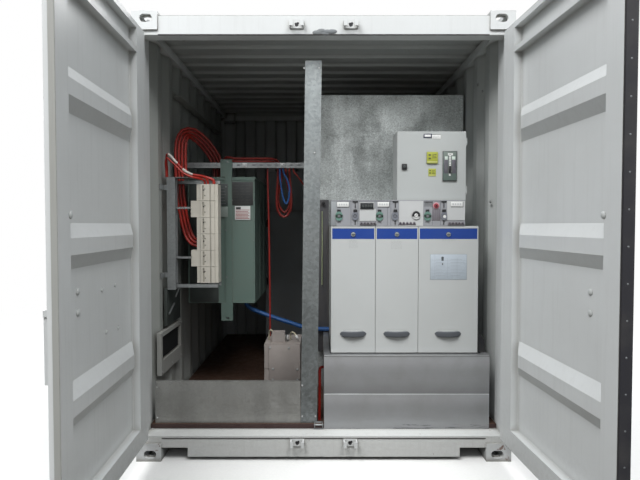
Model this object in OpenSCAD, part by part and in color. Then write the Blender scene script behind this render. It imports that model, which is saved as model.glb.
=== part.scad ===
// Ten foot high-cube steel container, fitted out as a switchgear bay, with both end doors open.
// X runs across the container, +Y runs in from the doors, and Z = 0 is the ground under the castings.

/* [Container] */
// Width over the corner castings
container_w = 2438; // [2380:1:2500]
// Length over the corner castings
container_l = 2991; // [2800:1:3400]
// Height over the corner castings
container_h = 2896; // [2800:1:3000]
// Thickness of the wall and roof sheets
sheet_t = 2; // [1.5:0.1:3]
// Depth of the side wall corrugations
side_wave = 36; // [25:1:40]
// Depth of the end wall corrugations
end_wave = 45.6; // [30:0.1:48]
// Depth of the roof ribs
roof_wave = 20; // [12:1:24]
// Height of the floor's underside above the ground
floor_base = 166; // [160:1:175]
// Thickness of the plywood floor
floor_t = 28; // [20:1:32]

/* [Castings, posts and rails] */
// Length of a corner casting along the container
casting_l = 178; // [160:1:190]
// Width of a corner casting across the container
casting_w = 162; // [150:1:170]
// Height of a corner casting
casting_h = 118; // [110:1:125]
// Wall of a corner casting
casting_wall = 28; // [18:1:32]
// Radius of the round ends of the casting's large slots
slot_r = 31.75; // [28:0.25:33]
// Length of the casting's large slots
slot_l = 124; // [110:1:126]
// Distance that the rails stay inside the castings' side faces
rail_inset = 10; // [6:1:14]
// Side of the square top rails
rail_side = 60; // [50:1:70]
// Wall of the rails and posts
rail_t = 4; // [3:0.5:6]
// Width of a door post, seen from the front
post_w = 43; // [36:1:46]
// Distance of the posts' front faces behind the castings' front faces
post_setback = 22; // [20:1:30]
// Distance of the sill's and header's front faces behind the castings' front faces
sill_setback = 12; // [8:1:16]
// Height of the door sill's top above the ground
sill_top = 163; // [150:1:165]
// Depth of the door sill
sill_d = 122; // [100:1:130]
// Height of the door header
header_h = 120; // [90:1:160]
// Pitch of the floor's cross members
member_pitch = 290; // [240:1:340]

/* [Doors] */
// Angle that the left door stands open
left_open = 88; // [60:1:110]
// Angle that the right door stands open
right_open = 93; // [60:1:110]
// Distance of the hinge pins inside the castings' side faces
pin_inset = 17; // [14:1:20]
// Distance of the hinge pins in front of the castings' front faces
pin_front = 5; // [2:1:7]
// Radius of a hinge pin
pin_r = 10; // [8:0.5:11]
// Height of a hinge blade
blade_h = 60; // [45:1:80]
// Distance from the hinge pin to the edge of the door leaf
leaf_edge = 40; // [38:1:42]
// Thickness of a door leaf's frame
leaf_t = 50; // [40:1:56]
// Gap between the two closed leaves
leaf_gap = 20; // [18:1:24]
// Width of a door's hinge stile
hinge_stile = 150; // [110:1:170]
// Width of a door's free stile
free_stile = 110; // [90:1:130]
// Height of a door's top rail
door_top_rail = 173; // [140:1:190]
// Height of a door's bottom rail
door_bottom_rail = 116; // [100:1:140]
// Depth of the pressed ribs across a door panel
rib_depth = 36; // [20:1:40]
// Height of a pressed rib
rib_h = 206; // [160:1:240]
// Thickness of the rubber seal on a leaf's edge
seal_t = 10; // [8:1:12]

/* [Lock gear] */
// Radius of a lock rod
rod_r = 17; // [14:0.5:19]
// Distance from the leaf's hinge edge to the lock rod
rod_at = 990; // [940:1:1000]
// Distance of the rod's centre from the leaf's outer face
rod_off = 38; // [36:1:44]
// Height of the handle's pivot above the ground
handle_z = 1150; // [1100:1:1300]
// Length of a lock handle below its pivot
handle_l = 315; // [240:1:400]
// Width of the handle's flat bar
handle_w = 26; // [20:1:28]
// Thickness of the handle's flat bar
handle_t = 10; // [8:0.5:12]
// Reach of the handle's pivot from the rod's centre
pivot_reach = 42; // [41:1:48]

/* [Fittings at the front] */
// Height of the sheet across the left bay's foot
kick_h = 285; // [200:1:340]
// Distance of the kick panel and centre post behind the castings' front faces
front_line = 150; // [145:1:160]
// Width of the leaning centre post
centre_post_w = 110; // [80:1:120]
// Height of the centre post above the floor
centre_post_h = 2436; // [2200:1:2450]
// Distance that the centre post leans to the right over its height
centre_lean = 33; // [0:1:40]
// Width of the plinth under the ring main unit
plinth_w = 1112; // [1080:1:1118]
// Height of the plinth's top above the ground
plinth_top = 664; // [560:1:700]
// Thickness of the plinth's hollow planks
plank_t = 6; // [4:1:6]

/* [Ring main unit] */
// Left edge of the ring main unit, to the right of the container's middle
unit_left = 50; // [40:1:60]
// Width of the first cable compartment cover
cover_a = 301; // [280:1:310]
// Width of the second cable compartment cover
cover_b = 290; // [270:1:300]
// Width of the third cable compartment cover
cover_c = 406; // [380:1:410]
// Distance of the covers' faces behind the castings' front faces
unit_front = 170; // [165:1:180]
// Depth of the ring main unit
unit_d = 750; // [600:1:750]
// Height of the cable compartment covers
cover_h = 860; // [800:1:900]
// Height of the mechanism panel
panel_h = 175; // [150:1:190]
// Width of the mechanism panel
panel_w = 906; // [860:1:940]
// Width of the control box
box_w = 469; // [420:1:500]
// Height of the control box
box_h = 469; // [420:1:500]
// Depth of the control box
box_d = 190; // [150:1:200]
// Left edge of the control box, to the right of the container's middle
box_left = 501; // [480:1:520]

/* [Distribution side] */
// Height of the strut beam's underside above the ground
beam_base = 1990; // [1960:1:2050]
// Side of the strut beam
beam_side = 41; // [38:1:50]
// Distance of the beam's face behind the castings' front faces
beam_front = 770; // [740:1:800]
// Width of the right busbar housing
housing_w = 186; // [150:1:200]
// Depth of the busbar housings
housing_d = 865; // [600:1:900]
// Height of the busbar housings
housing_h = 1002; // [900:1:1040]
// Number of fuse modules in the column
module_count = 6; // [4:1:6]
// Height of one fuse module
module_h = 122; // [115:1:126]
// Width of a fuse module
module_w = 159; // [150:1:180]
// Depth of a fuse module
module_d = 110; // [90:1:120]
// Diameter of the red cables
red_cable_d = 22; // [16:1:24]
// Diameter of the blue cable
blue_cable_d = 34; // [28:1:36]

/* [Hidden] */
$fn = 32;

white = [0.84, 0.85, 0.86];
galvanised = [0.52, 0.54, 0.55];
aluminium = [0.55, 0.56, 0.57];
light_grey = [0.74, 0.75, 0.76];
grey_green = [0.33, 0.42, 0.39];
cream = [0.70, 0.68, 0.63];
rubber = [0.12, 0.12, 0.13];

// The shell's faces
half_w = container_w / 2;
casting_x = half_w - casting_w;
rail_x = half_w - rail_inset;
post_x = half_w - 6;
post_in = post_x - post_w;
wall_x = rail_x - 2;
wall_in = wall_x - side_wave - sheet_t;
floor_top = floor_base + floor_t;
roof_seat = container_h - roof_wave - sheet_t - 6;
rail_base = roof_seat - rail_side;
header_base = roof_seat - header_h;
rear_y = container_l - 6;
post_back = casting_l;
rear_post_y = container_l - casting_l;
wall_run = rear_post_y - post_back;
side_flat = 72;
side_slope = 68;
side_crest = 70;
first_crest = post_back + side_flat + side_slope
    + wave_start(wall_run, side_flat, side_flat + 2 * side_slope + side_crest);
floor_front = sill_setback + sill_d;
floor_back = rear_y - 57;
member_base = floor_base - 122;

// The leaves, in each door's own frame: u from the hinge pin along the leaf, v inwards
pin_x = half_w - pin_inset;
pin_y = -pin_front;
leaf_w = pin_x - leaf_edge - leaf_gap / 2;
leaf_end = leaf_edge + leaf_w;
leaf_out = 28;
leaf_in = leaf_out + leaf_t;
leaf_base = sill_top + 7;
leaf_top = header_base - 5;
panel_u = leaf_edge + hinge_stile;
panel_w_door = leaf_w - hinge_stile - free_stile;
panel_base = leaf_base + door_bottom_rail;
panel_top = leaf_top - door_top_rail;
rod_u = leaf_edge + rod_at;
rod_v = leaf_out - rod_off;
hinge_zs = [for (i = [0:3]) leaf_base + 160 + i * (leaf_top - leaf_base - 320) / 3];
rib_zs = [for (k = [0.219, 0.495, 0.764]) leaf_base + k * (leaf_top - leaf_base)];
bracket_zs = [leaf_base + 160, handle_z + 133, handle_z + 430, leaf_top - 170];
cam_low = sill_top - 40;
cam_high = header_base + 62;

// The middle of the whole outline with the doors as they stand
gear_reach = pivot_reach + 13 - rod_v;
left_reach = pin_x - rod_u * cos(left_open) + gear_reach * sin(left_open);
right_reach = pin_x - rod_u * cos(right_open) + gear_reach * sin(right_open);
mid_x = (right_reach - left_reach) / 2;
front_reach = pin_front + leaf_end * max(sin(left_open), sin(right_open)) + seal_t;
mid_y = (container_l - front_reach) / 2;

// The fittings
middle_x = 3;
unit_right = unit_left + cover_a + cover_b + cover_c;
unit_base = plinth_top + 7;
cover_gap = 1.5;
band_inset = 7;
cover_lip = 13;
band_h = 72;
band_foot = cover_h - 3 - cover_lip - band_h;
panel_base_z = unit_base + cover_h;
panel_top_z = panel_base_z + panel_h;
plank_front = floor_front - plank_t;
unit_back = unit_front + unit_d;
partition_y = unit_back + 5;
seam_z = (sill_top + plinth_top) / 2 - 11;
strap_x = -771;
housing_x = -728;
housing_top = beam_base - 72;
housing_base = housing_top - housing_h;
module_x = -937;
module_front = 494;
module_base = 1108;
board_back = module_front + module_d;
modules_top = module_base + module_h * module_count;
shelf_z = modules_top + 44;
shelf_t = 5;
upright_base = 1095;
ledge_y = 720;
ledge_l = 1660;
ledge_z = rail_base - 273;
box_front = unit_front + 54;
box_door_t = 12;

// Moves the container's own frame to the middle of the whole outline
module shifted() translate([-mid_x, -mid_y, 0]) children();

module both_sides() {
    children();
    mirror([1, 0, 0]) children();
}

// A hole with round ends, along X, through a plate that faces Z
module long_hole(length, r, depth) {
    straight = length / 2 - r;
    translate([-straight, -r, 0]) cube([2 * straight, 2 * r, depth]);
    for (side = [-1, 1]) translate([side * straight, 0, 0]) cylinder(r = r, h = depth);
}

// One casting at the front right foot, as a thick shell with slots on its three outer faces
module casting() {
    hole_x = half_w - 89.5;
    hole_y = 102;
    hole_z = 46;
    difference() {
        translate([casting_x, 0, 0]) cube([casting_w, casting_l, casting_h]);
        translate([casting_x + 12, casting_wall, casting_wall])
            cube([casting_w - 12 - casting_wall, casting_l - 12 - casting_wall, casting_h - 12 - casting_wall]);
        translate([hole_x, hole_y, -1]) rotate([0, 0, 90]) long_hole(slot_l, slot_r, casting_wall + 2);
        translate([hole_x, -1, hole_z]) rotate([-90, 0, 0]) long_hole(79.5, 25.5, casting_wall + 2);
        translate([half_w + 1, hole_y, hole_z]) rotate([0, -90, 0]) rotate([0, 0, 90])
            long_hole(79.5, 25.5, casting_wall + 2);
    }
}

module corner_castings() {
    color(white) both_sides() for (top = [0, 1], back = [0, 1])
        translate([0, back * container_l, top * container_h])
            mirror([0, back, 0]) mirror([0, 0, top]) casting();
}

// Two ears and a fixed pin that carry one blade of a door
module hinge_ears() {
    gap = blade_h / 2 + 2;
    difference() {
        union() for (side = [0, 1]) mirror([0, 0, side]) translate([0, 0, gap]) {
            cylinder(r = pin_r + 7, h = 18);
            translate([-12, 0, 0]) cube([22, post_setback + pin_front, 18]);
        }
        cylinder(r = pin_r, h = 3 * blade_h, center = true);
    }
    cylinder(r = pin_r, h = blade_h + 48, center = true);
}

module door_end_posts() {
    color(white) both_sides() {
        difference() {
            translate([post_in, post_setback, casting_h])
                cube([post_w, post_back - post_setback, container_h - 2 * casting_h]);
            translate([post_in + rail_t, post_setback + 6, casting_h - 1])
                cube([post_w - rail_t - 6, post_back - post_setback - 12, container_h - 2 * casting_h + 2]);
        }
        for (z = hinge_zs) translate([pin_x, pin_y, z]) hinge_ears();
    }
}

// A bent plate with a lip at each free edge, so that both corrugated walls end on a flange
module rear_posts() {
    t = 6;
    lip = side_wave + sheet_t + 2;
    color(white) both_sides() translate([0, 0, casting_h])
        linear_extrude(height = container_h - 2 * casting_h) polygon([
            [post_x, rear_post_y], [post_x, rear_y], [casting_x, rear_y], [casting_x, rear_y - end_wave - 8],
            [casting_x + t, rear_y - end_wave - 8], [casting_x + t, rear_y - t], [post_x - t, rear_y - t],
            [post_x - t, rear_post_y + t], [post_x - t - lip, rear_post_y + t], [post_x - t - lip, rear_post_y]
        ]);
}

// Everything that the castings take up, for the members that run past them
module casting_space() {
    both_sides() for (back = [0, rear_post_y], top = [0, container_h - casting_h])
        translate([casting_x, back, top]) cube([casting_w, casting_l, casting_h]);
}

module door_header() {
    color(white) difference() {
        translate([-post_in, sill_setback, header_base]) cube([2 * post_in, 98, header_h]);
        translate([-post_in - 1, sill_setback + 4, header_base + 4]) cube([2 * post_in + 2, 90, header_h - 8]);
        casting_space();
    }
}

// A channel open below, with a cut beside each casting for lifting gear
module door_sill() {
    front = sill_setback;
    back = sill_setback + sill_d;
    color(white) difference() {
        translate([-post_in, 0, 0]) rotate([90, 0, 90]) linear_extrude(height = 2 * post_in) polygon([
            [front, 27], [front, sill_top], [back, sill_top], [back, sill_top - 43], [back - 6, sill_top - 43],
            [back - 6, sill_top - 6], [front + 6, sill_top - 6], [front + 6, 33], [front + 40, 33], [front + 40, 27]
        ]);
        casting_space();
        both_sides() translate([casting_x - 170, front - 1, 20]) cube([171, 60, 67]);
    }
}

// A jaw that the cam on a lock rod turns into
module keeper() {
    jaw = sill_setback + pin_front - leaf_out + rod_off + rod_r + 4;
    color(white) {
        translate([-45, -8, -24]) cube([90, 8, 48]);
        both_sides() translate([35, -jaw, -20]) cube([10, jaw - 7, 40]);
        both_sides() translate([24, -jaw, -20]) cube([13, 6, 40]);
    }
}

module cam_keepers() {
    both_sides() for (z = [cam_low, cam_high])
        translate([pin_x - rod_u, sill_setback, z]) keeper();
}

module top_rails() {
    run = rear_post_y - post_back;
    color(white) {
        both_sides() translate([rail_x - rail_side, post_back, rail_base]) difference() {
            cube([rail_side, run, rail_side]);
            translate([rail_t, -1, rail_t]) cube([rail_side - 2 * rail_t, run + 2, rail_side - 2 * rail_t]);
        }
        translate([-casting_x, rear_y - rail_side, rail_base]) difference() {
            cube([2 * casting_x, rail_side, rail_side]);
            translate([-1, rail_t, rail_t])
                cube([2 * casting_x + 2, rail_side - 2 * rail_t, rail_side - 2 * rail_t]);
        }
    }
}

// Channels along the sides, open outwards, and one across the rear
module bottom_rails() {
    base = 17;
    web = rail_x - 48;
    color(white) {
        both_sides() translate([0, rear_post_y, 0]) rotate([90, 0, 0])
            linear_extrude(height = rear_post_y - post_back) polygon([
                [web, base], [rail_x - 18, base], [rail_x - 18, base + rail_t], [web + rail_t, base + rail_t],
                [web + rail_t, floor_base - rail_t], [rail_x, floor_base - rail_t], [rail_x, floor_base],
                [web, floor_base]
            ]);
        translate([-casting_x, 0, 0]) rotate([90, 0, 90]) linear_extrude(height = 2 * casting_x) polygon([
            [rear_y, base], [rear_y, floor_base], [rear_y - 55, floor_base], [rear_y - 55, floor_base - rail_t],
            [rear_y - rail_t, floor_base - rail_t], [rear_y - rail_t, base + rail_t],
            [rear_y - 55, base + rail_t], [rear_y - 55, base]
        ]);
    }
}

module cross_members() {
    first = casting_l + 6;
    run = rear_post_y - 49 - first;
    count = round(run / member_pitch);
    web = rail_x - 48;
    color(white) for (i = [0:count]) translate([-web, first + i * run / count, 0])
        rotate([90, 0, 90]) linear_extrude(height = 2 * web) polygon([
            [0, member_base], [45, member_base], [45, member_base + rail_t], [rail_t, member_base + rail_t],
            [rail_t, floor_base - rail_t], [45, floor_base - rail_t], [45, floor_base], [0, floor_base]
        ]);
}

module plywood_floor() {
    w = 2 * (wall_in - 3);
    color([0.36, 0.25, 0.18]) translate([-w / 2, floor_front, floor_base])
        cube([w, floor_back - floor_front, floor_t]);
}

// Distance from a sheet's end to its first whole wave, which centres the waves on the sheet
function wave_start(length, flat_out, pitch) =
    (length - floor((length - 40) / pitch) * pitch - flat_out) / 2;

// A pressed sheet's outline along its length: outer flat, slope, inner flat, slope
function wave_points(length, flat_out, slope, flat_in, depth) =
    let (pitch = flat_out + 2 * slope + flat_in,
         count = floor((length - 40) / pitch),
         start = wave_start(length, flat_out, pitch))
    concat([[0, 0]],
        [for (i = [0:count - 1], p = [[0, 0], [slope, depth], [slope + flat_in, depth], [2 * slope + flat_in, 0]])
            [start + flat_out + i * pitch + p[0], p[1]]],
        [[length, 0]]);

module wave_sheet(length, flat_out, slope, flat_in, depth, height) {
    line = wave_points(length, flat_out, slope, flat_in, depth);
    last = len(line) - 1;
    linear_extrude(height = height)
        polygon(concat(line, [for (i = [last:-1:0]) line[i] + [0, sheet_t]]));
}

module side_wall() {
    color(white) translate([-wall_x, rear_post_y, floor_base]) rotate([0, 0, -90])
        wave_sheet(wall_run, side_flat, side_slope, side_crest, side_wave, rail_base - floor_base);
}

module left_wall() side_wall();
module right_wall() mirror([1, 0, 0]) side_wall();

module rear_wall() {
    color(white) translate([casting_x, rear_y, floor_base]) rotate([0, 0, 180])
        wave_sheet(2 * casting_x, 110, 18, 104, end_wave, rail_base - floor_base);
}

module roof_panel() {
    w = 2 * rail_x - 8;
    color(white) difference() {
        translate([-w / 2, sill_setback, roof_seat]) rotate([90, 0, 90])
            wave_sheet(rear_y - sill_setback, 91, 13.5, 91, roof_wave, w);
        casting_space();
    }
}

// An angle along the left wall that cables can be tied to
module wall_ledge() {
    t = 4;
    color(white) translate([-wall_in, ledge_y, ledge_z]) difference() {
        cube([65, ledge_l, 40]);
        translate([t, -1, t]) cube([65, ledge_l + 2, 40]);
    }
}

// A folded frame with a closed plate, low on the left wall
module hatch_frame() {
    w = 520;
    h = 300;
    depth = 32;
    rim = 30;
    color(white) translate([-wall_in, 280, 477]) difference() {
        cube([depth, w, h]);
        translate([3, rim, 100]) cube([depth, w - 2 * rim, h - 100 - rim]);
    }
}

// A leaf's hollow frame with its hinge blades
module door_frame() {
    h = leaf_top - leaf_base;
    t = 4;
    color(white) {
        difference() {
            translate([leaf_edge, leaf_out, leaf_base]) cube([leaf_w, leaf_t, h]);
            translate([panel_u, leaf_out - 1, panel_base]) cube([panel_w_door, leaf_t + 2, panel_top - panel_base]);
            translate([panel_u, leaf_out + 6, panel_top + 30])
                cube([panel_w_door, leaf_t, door_top_rail - 60]);
        }
        for (z = hinge_zs) translate([0, 0, z - blade_h / 2]) difference() {
            union() {
                cylinder(r = pin_r + 8, h = blade_h);
                linear_extrude(height = blade_h)
                    polygon([[0, 12], [leaf_edge + 110, 12], [leaf_edge + 110, leaf_out], [leaf_edge + 4, leaf_out],
                        [leaf_edge + 4, 22], [0, 22]]);
            }
            translate([0, 0, -1]) cylinder(r = pin_r + 0.1, h = blade_h + 2);
        }
    }
}

// One pressed rib: a trapezium that also slopes down to the sheet at its hinge end
module rib_form(z) {
    slope = (rib_h - 74) / 2;
    intersection() {
        translate([0, 0, z]) rotate([90, 0, 90]) linear_extrude(height = panel_w_door)
            polygon([[-1, -rib_h / 2], [0, -rib_h / 2], [rib_depth, slope - rib_h / 2],
                [rib_depth, rib_h / 2 - slope], [0, rib_h / 2], [-1, rib_h / 2]]);
        translate([0, 0, z - rib_h]) linear_extrude(height = 2 * rib_h)
            polygon([[6, -1], [6, 0], [6 + slope, rib_depth], [panel_w_door, rib_depth], [panel_w_door, -1]]);
    }
}

// A leaf's sheet, pressed into ribs that stand inwards
module door_panel() {
    color(white) translate([panel_u, leaf_out + 2, 0]) difference() {
        union() {
            translate([0, 0, panel_base]) cube([panel_w_door, sheet_t, panel_top - panel_base]);
            for (z = rib_zs) translate([0, sheet_t, 0]) rib_form(z);
        }
        for (z = rib_zs) rib_form(z);
    }
}

// Rubber round a leaf's edges, with a thicker flat strip on the leaf's free end
module door_seal(strip) {
    lip = 3.5;
    d = 26;
    h = leaf_top - leaf_base;
    color(rubber) {
        translate([0, leaf_in - d - 2, 0]) difference() {
            translate([leaf_edge - lip, 0, leaf_base - lip]) cube([leaf_w + 2 * lip, d, h + 2 * lip]);
            translate([leaf_edge, -1, leaf_base]) cube([leaf_w, d + 2, h]);
        }
        if (strip) translate([leaf_end, leaf_out - 4, leaf_base]) cube([seal_t, leaf_t, h]);
    }
}

// Guides that the rod turns in and the plate that catches the handle
module lock_brackets() {
    color(white) {
        for (z = bracket_zs) translate([rod_u, rod_v, z - 22]) difference() {
            union() {
                cylinder(r = rod_r + 8, h = 44);
                translate([-rod_r - 8, 0, 0]) cube([2 * rod_r + 16, rod_off, 44]);
                translate([-60, rod_off - 6, 0]) cube([120, 6, 44]);
            }
            translate([0, 0, -1]) cylinder(r = rod_r + 1, h = 46);
        }
        translate([rod_u - 130, leaf_out - 4, handle_z - 46]) cube([40, 6, 110]);
        translate([rod_u - 130, rod_v - 22, handle_z - 36]) cube([40, rod_off + 22, 12]);
    }
}

// A rod with a cam at each end and the clevis that carries the handle
module lock_rod() {
    color(white) translate([rod_u, rod_v, 0]) {
        translate([0, 0, cam_low - 12]) cylinder(r = rod_r, h = cam_high - cam_low + 24);
        for (z = [cam_low, cam_high]) translate([-9, -rod_r - 12, z - 7]) cube([18, rod_r + 12, 14]);
        translate([0, 0, handle_z - 28]) cylinder(r = rod_r + 7, h = 56);
        for (side = [-1, 1]) translate([side * (handle_t / 2 + 3.5) - 2.5, -pivot_reach - 13, handle_z - 14])
            cube([5, pivot_reach, 28]);
        translate([0, -pivot_reach, handle_z]) rotate([0, 90, 0])
            cylinder(r = 5, h = handle_t + 12, center = true);
    }
}

// A flat bar that hangs from the clevis, with a bent grip at its foot
module handle_bar() {
    color(white) translate([rod_u, rod_v - pivot_reach, handle_z]) difference() {
        union() {
            translate([-handle_t / 2, 0, 0]) rotate([0, 90, 0]) cylinder(r = handle_w / 2, h = handle_t);
            translate([-handle_t / 2, -handle_w / 2, -handle_l]) cube([handle_t, handle_w, handle_l]);
        }
        rotate([0, 90, 0]) cylinder(r = 5.1, h = handle_t + 2, center = true);
    }
}

module on_left_door() translate([-pin_x, pin_y, 0]) rotate([0, 0, -left_open]) children();
module on_right_door() translate([pin_x, pin_y, 0]) rotate([0, 0, right_open]) mirror([1, 0, 0]) children();

// A channel whose faces lean to the right as they rise
module centre_post() {
    lean = function(x) [[x, 0], [x + centre_lean, centre_post_h]];
    foot = -155;
    t = 3;
    color(galvanised) translate([0, front_line, floor_top]) {
        for (part = [[0, centre_post_w, t], [0, t, 40], [centre_post_w - t, centre_post_w, 40]])
            translate([foot, part[2], 0]) rotate([90, 0, 0]) linear_extrude(height = part[2])
                polygon([[part[0], 0], [part[1], 0], [part[1] + centre_lean, centre_post_h],
                    [part[0] + centre_lean, centre_post_h]]);
    }
}

// A sheet with a folded top edge, across the foot of the left bay
module kick_panel() {
    t = 2;
    left = -wall_in + 28;
    color(galvanised) translate([left, front_line, floor_top]) {
        cube([-156 - left, t, kick_h]);
        translate([0, 0, kick_h - t]) cube([-156 - left, 28, t]);
        cube([t, 28, kick_h]);
    }
}

// A folded sheet behind the ring main unit, from the strut beam's end to the right wall
module partition_sheet() {
    t = 2;
    left = -100;
    w = 1250;
    color(galvanised) translate([left, partition_y, floor_top]) {
        cube([w, t, centre_post_h - 30]);
        cube([t, 30, centre_post_h - 30]);
        translate([0, 0, centre_post_h - 30 - t]) cube([w, 30, t]);
    }
}

// Two hollow planks, one on the other, across the plinth's front
module plinth_planks() {
    color(aluminium) translate([middle_x, 0, 0]) rotate([90, 0, 90]) linear_extrude(height = plinth_w) {
        polygon([[plank_front, sill_top], [floor_front, sill_top], [floor_front, seam_z - plank_t],
            [floor_front + 40, seam_z - plank_t], [floor_front + 40, seam_z], [plank_front, seam_z]]);
        polygon([[plank_front, seam_z + 1], [floor_front + 40, seam_z + 1], [floor_front + 40, seam_z + 1 + plank_t],
            [floor_front, seam_z + 1 + plank_t], [floor_front, plinth_top - plank_t],
            [floor_front + 40, plinth_top - plank_t], [floor_front + 40, plinth_top], [plank_front, plinth_top]]);
    }
}

// The plinth's sides and back, which carry the unit's weight to the floor
module plinth_frame() {
    front = floor_front + 40;
    run = unit_back - front;
    color(aluminium) translate([middle_x, front, floor_top]) difference() {
        cube([plinth_w, run, plinth_top - floor_top]);
        translate([40, -1, -1]) cube([plinth_w - 80, run - 39, plinth_top - floor_top + 2]);
    }
}

module ring_main_tank() {
    color(light_grey) translate([unit_left, unit_front + 20, plinth_top])
        cube([unit_right - unit_left, unit_d - 20, panel_base_z - plinth_top]);
}

// Places one fitting on the mechanism panel's face: x from the unit's left edge, z from the panel's foot
module on_panel(x, z) translate([unit_left + x, unit_front + 5, panel_base_z + z]) children();

// A plate with an outline that faces the doors
module facing(depth) rotate([90, 0, 0]) linear_extrude(height = depth) children();

// The operating shafts' places: x, and whether the shaft's escutcheon is the round one
shafts = [[54, true], [162, false], [328, true], [432, false], [652, true], [763, false]];

// The drives' housing, with a slot over and under each round escutcheon
module mechanism_panel() {
    color([0.62, 0.64, 0.65]) difference() {
        translate([unit_left, unit_front + 5, panel_base_z]) cube([panel_w, 190, panel_h]);
        for (s = shafts) if (s[1]) for (z = [16, 98])
            on_panel(s[0] - 13, z) translate([0, -1, 0]) cube([26, 5, 14]);
    }
}

// Raised plates beside the shafts, one with the pressure gauge's ring
module facia_plates() {
    t = 2.5;
    gauge_z = 74;
    color(white) for (p = [[193, 34, 111, 81], [460, 0, 162, 169], [784, 40, 121, 129]]) on_panel(p[0], p[1])
        difference() {
            union() {
                translate([0, -t, 0]) cube([p[2], t, p[3]]);
                if (p[0] == 460) translate([114, -t, gauge_z]) facing(6) circle(29);
            }
            if (p[0] == 460) translate([114, -t - 3, gauge_z]) facing(5) circle(24);
        }
    color(white) on_panel(193, 115) difference() {
        translate([0, -6, 0]) cube([98, 6, 44]);
        translate([7, -7, 7]) cube([84, 4, 30]);
    }
}

// Oval escutcheons round the shafts, with a hexagonal shaft end in each
module shaft_escutcheons() {
    color([0.50, 0.54, 0.53]) for (s = shafts) on_panel(s[0], 67) {
        difference() {
            facing(s[1] ? 5 : 8) {
                for (z = [-8, 8]) translate([0, z]) circle(20);
                translate([-20, -8]) square([40, 16]);
            }
            translate([0, -2, 0]) facing(8) circle(s[1] ? 14 : 12);
        }
        translate([0, -1.9, 0]) facing(s[1] ? 7 : 5) circle(r = 8, $fn = 6);
    }
}

// A bow lip to pull a cover with, arched in plan, rounded at its ends and hollow from below
module pull_lip(h) {
    back = 136;
    end = sqrt((back + 26) * (back + 26) - back * back) - h / 2;
    intersection() {
        translate([0, 1, h / 2]) facing(45) {
            square([2 * end, h], center = true);
            for (x = [-end, end]) translate([x, 0]) circle(d = h);
        }
        translate([0, back, 0]) difference() {
            cylinder(r = back + 26, h = h, $fn = 64);
            translate([0, 0, -3]) cylinder(r = back + 20, h = h, $fn = 64);
        }
        translate([-back, -40, 0]) cube([2 * back, 40.5, h]);
    }
}

// A folded cover with a pull lip, a slotted round screw and a sunk band under its top lip
module cable_cover(width) {
    t = 2;
    w = width - 2 * cover_gap;
    color(light_grey) translate([cover_gap, 0, 0]) {
        difference() {
            cube([w, 20, cover_h - 3]);
            translate([t, t, t]) cube([w - 2 * t, 20, band_foot - 2 * t]);
            translate([band_inset, -1, band_foot]) cube([w - 2 * band_inset, 3, band_h]);
        }
        translate([w / 2, 0, 111]) pull_lip(38);
        difference() {
            translate([w / 2, 2.5, band_foot + 31]) facing(8) circle(14);
            translate([w / 2 - 20, -7, band_foot + 29]) cube([40, 4, 4]);
        }
    }
}

// The coloured bands across the covers' tops, each with a hole for its cover's screw
module cover_bands() {
    color([0.14, 0.29, 0.51])
        for (c = [[unit_left, cover_a], [unit_left + cover_a, cover_b], [unit_left + cover_a + cover_b, cover_c]]) {
            w = c[1] - 2 * (cover_gap + band_inset);
            translate([c[0] + cover_gap + band_inset, unit_front + 0.8, unit_base + band_foot]) difference() {
                cube([w, 1.2, band_h]);
                translate([w / 2, 2, 31]) facing(4) circle(14.5);
            }
        }
}

module cover_at(x, width) translate([x, unit_front, unit_base]) cable_cover(width);

// A black elbow that takes the cables out of the unit's right side
module cable_duct() {
    r = 56;
    color(rubber) translate([unit_right + 1, unit_front + 150, plinth_top]) rotate([90, 0, 0]) difference() {
        union() {
            linear_extrude(height = 120) {
                square([r, 74]);
                intersection() {
                    translate([0, 74]) circle(r);
                    translate([0, 74]) square(r);
                }
            }
            translate([0, 0, 45]) linear_extrude(height = 30) {
                square([r + 4, 74]);
                intersection() {
                    translate([0, 74]) circle(r + 4);
                    translate([0, 74]) square(r + 4);
                }
            }
        }
        translate([-1, -1, 8]) cube([r - 4, 75, 104]);
    }
}

// The control box's hinge: axis beside its front right edge, two knuckle sets up its height
box_hinge = [box_left + box_w + 4.5, box_front - 8];
box_hinge_zs = [panel_top_z + 70, panel_top_z + box_h - 70];

module control_box_body() {
    t = 2;
    color(light_grey) {
        translate([box_left, box_front, panel_top_z]) difference() {
            cube([box_w, box_d, box_h]);
            translate([t, -1, t]) cube([box_w - 2 * t, box_d - t + 1, box_h - 2 * t]);
        }
        for (z = box_hinge_zs) translate([box_hinge[0], box_hinge[1], z]) {
            difference() {
                for (side = [0, 1]) mirror([0, 0, side]) translate([0, 0, 11]) {
                    cylinder(r = 4, h = 14);
                    translate([-4.5, 0, 0]) cube([2, 40, 14]);
                    translate([-4.5, 0, 0]) cube([4.5, 3, 14]);
                }
                cylinder(r = 2.2, h = 60, center = true);
            }
            cylinder(r = 2.2, h = 52, center = true);
        }
    }
}

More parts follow.
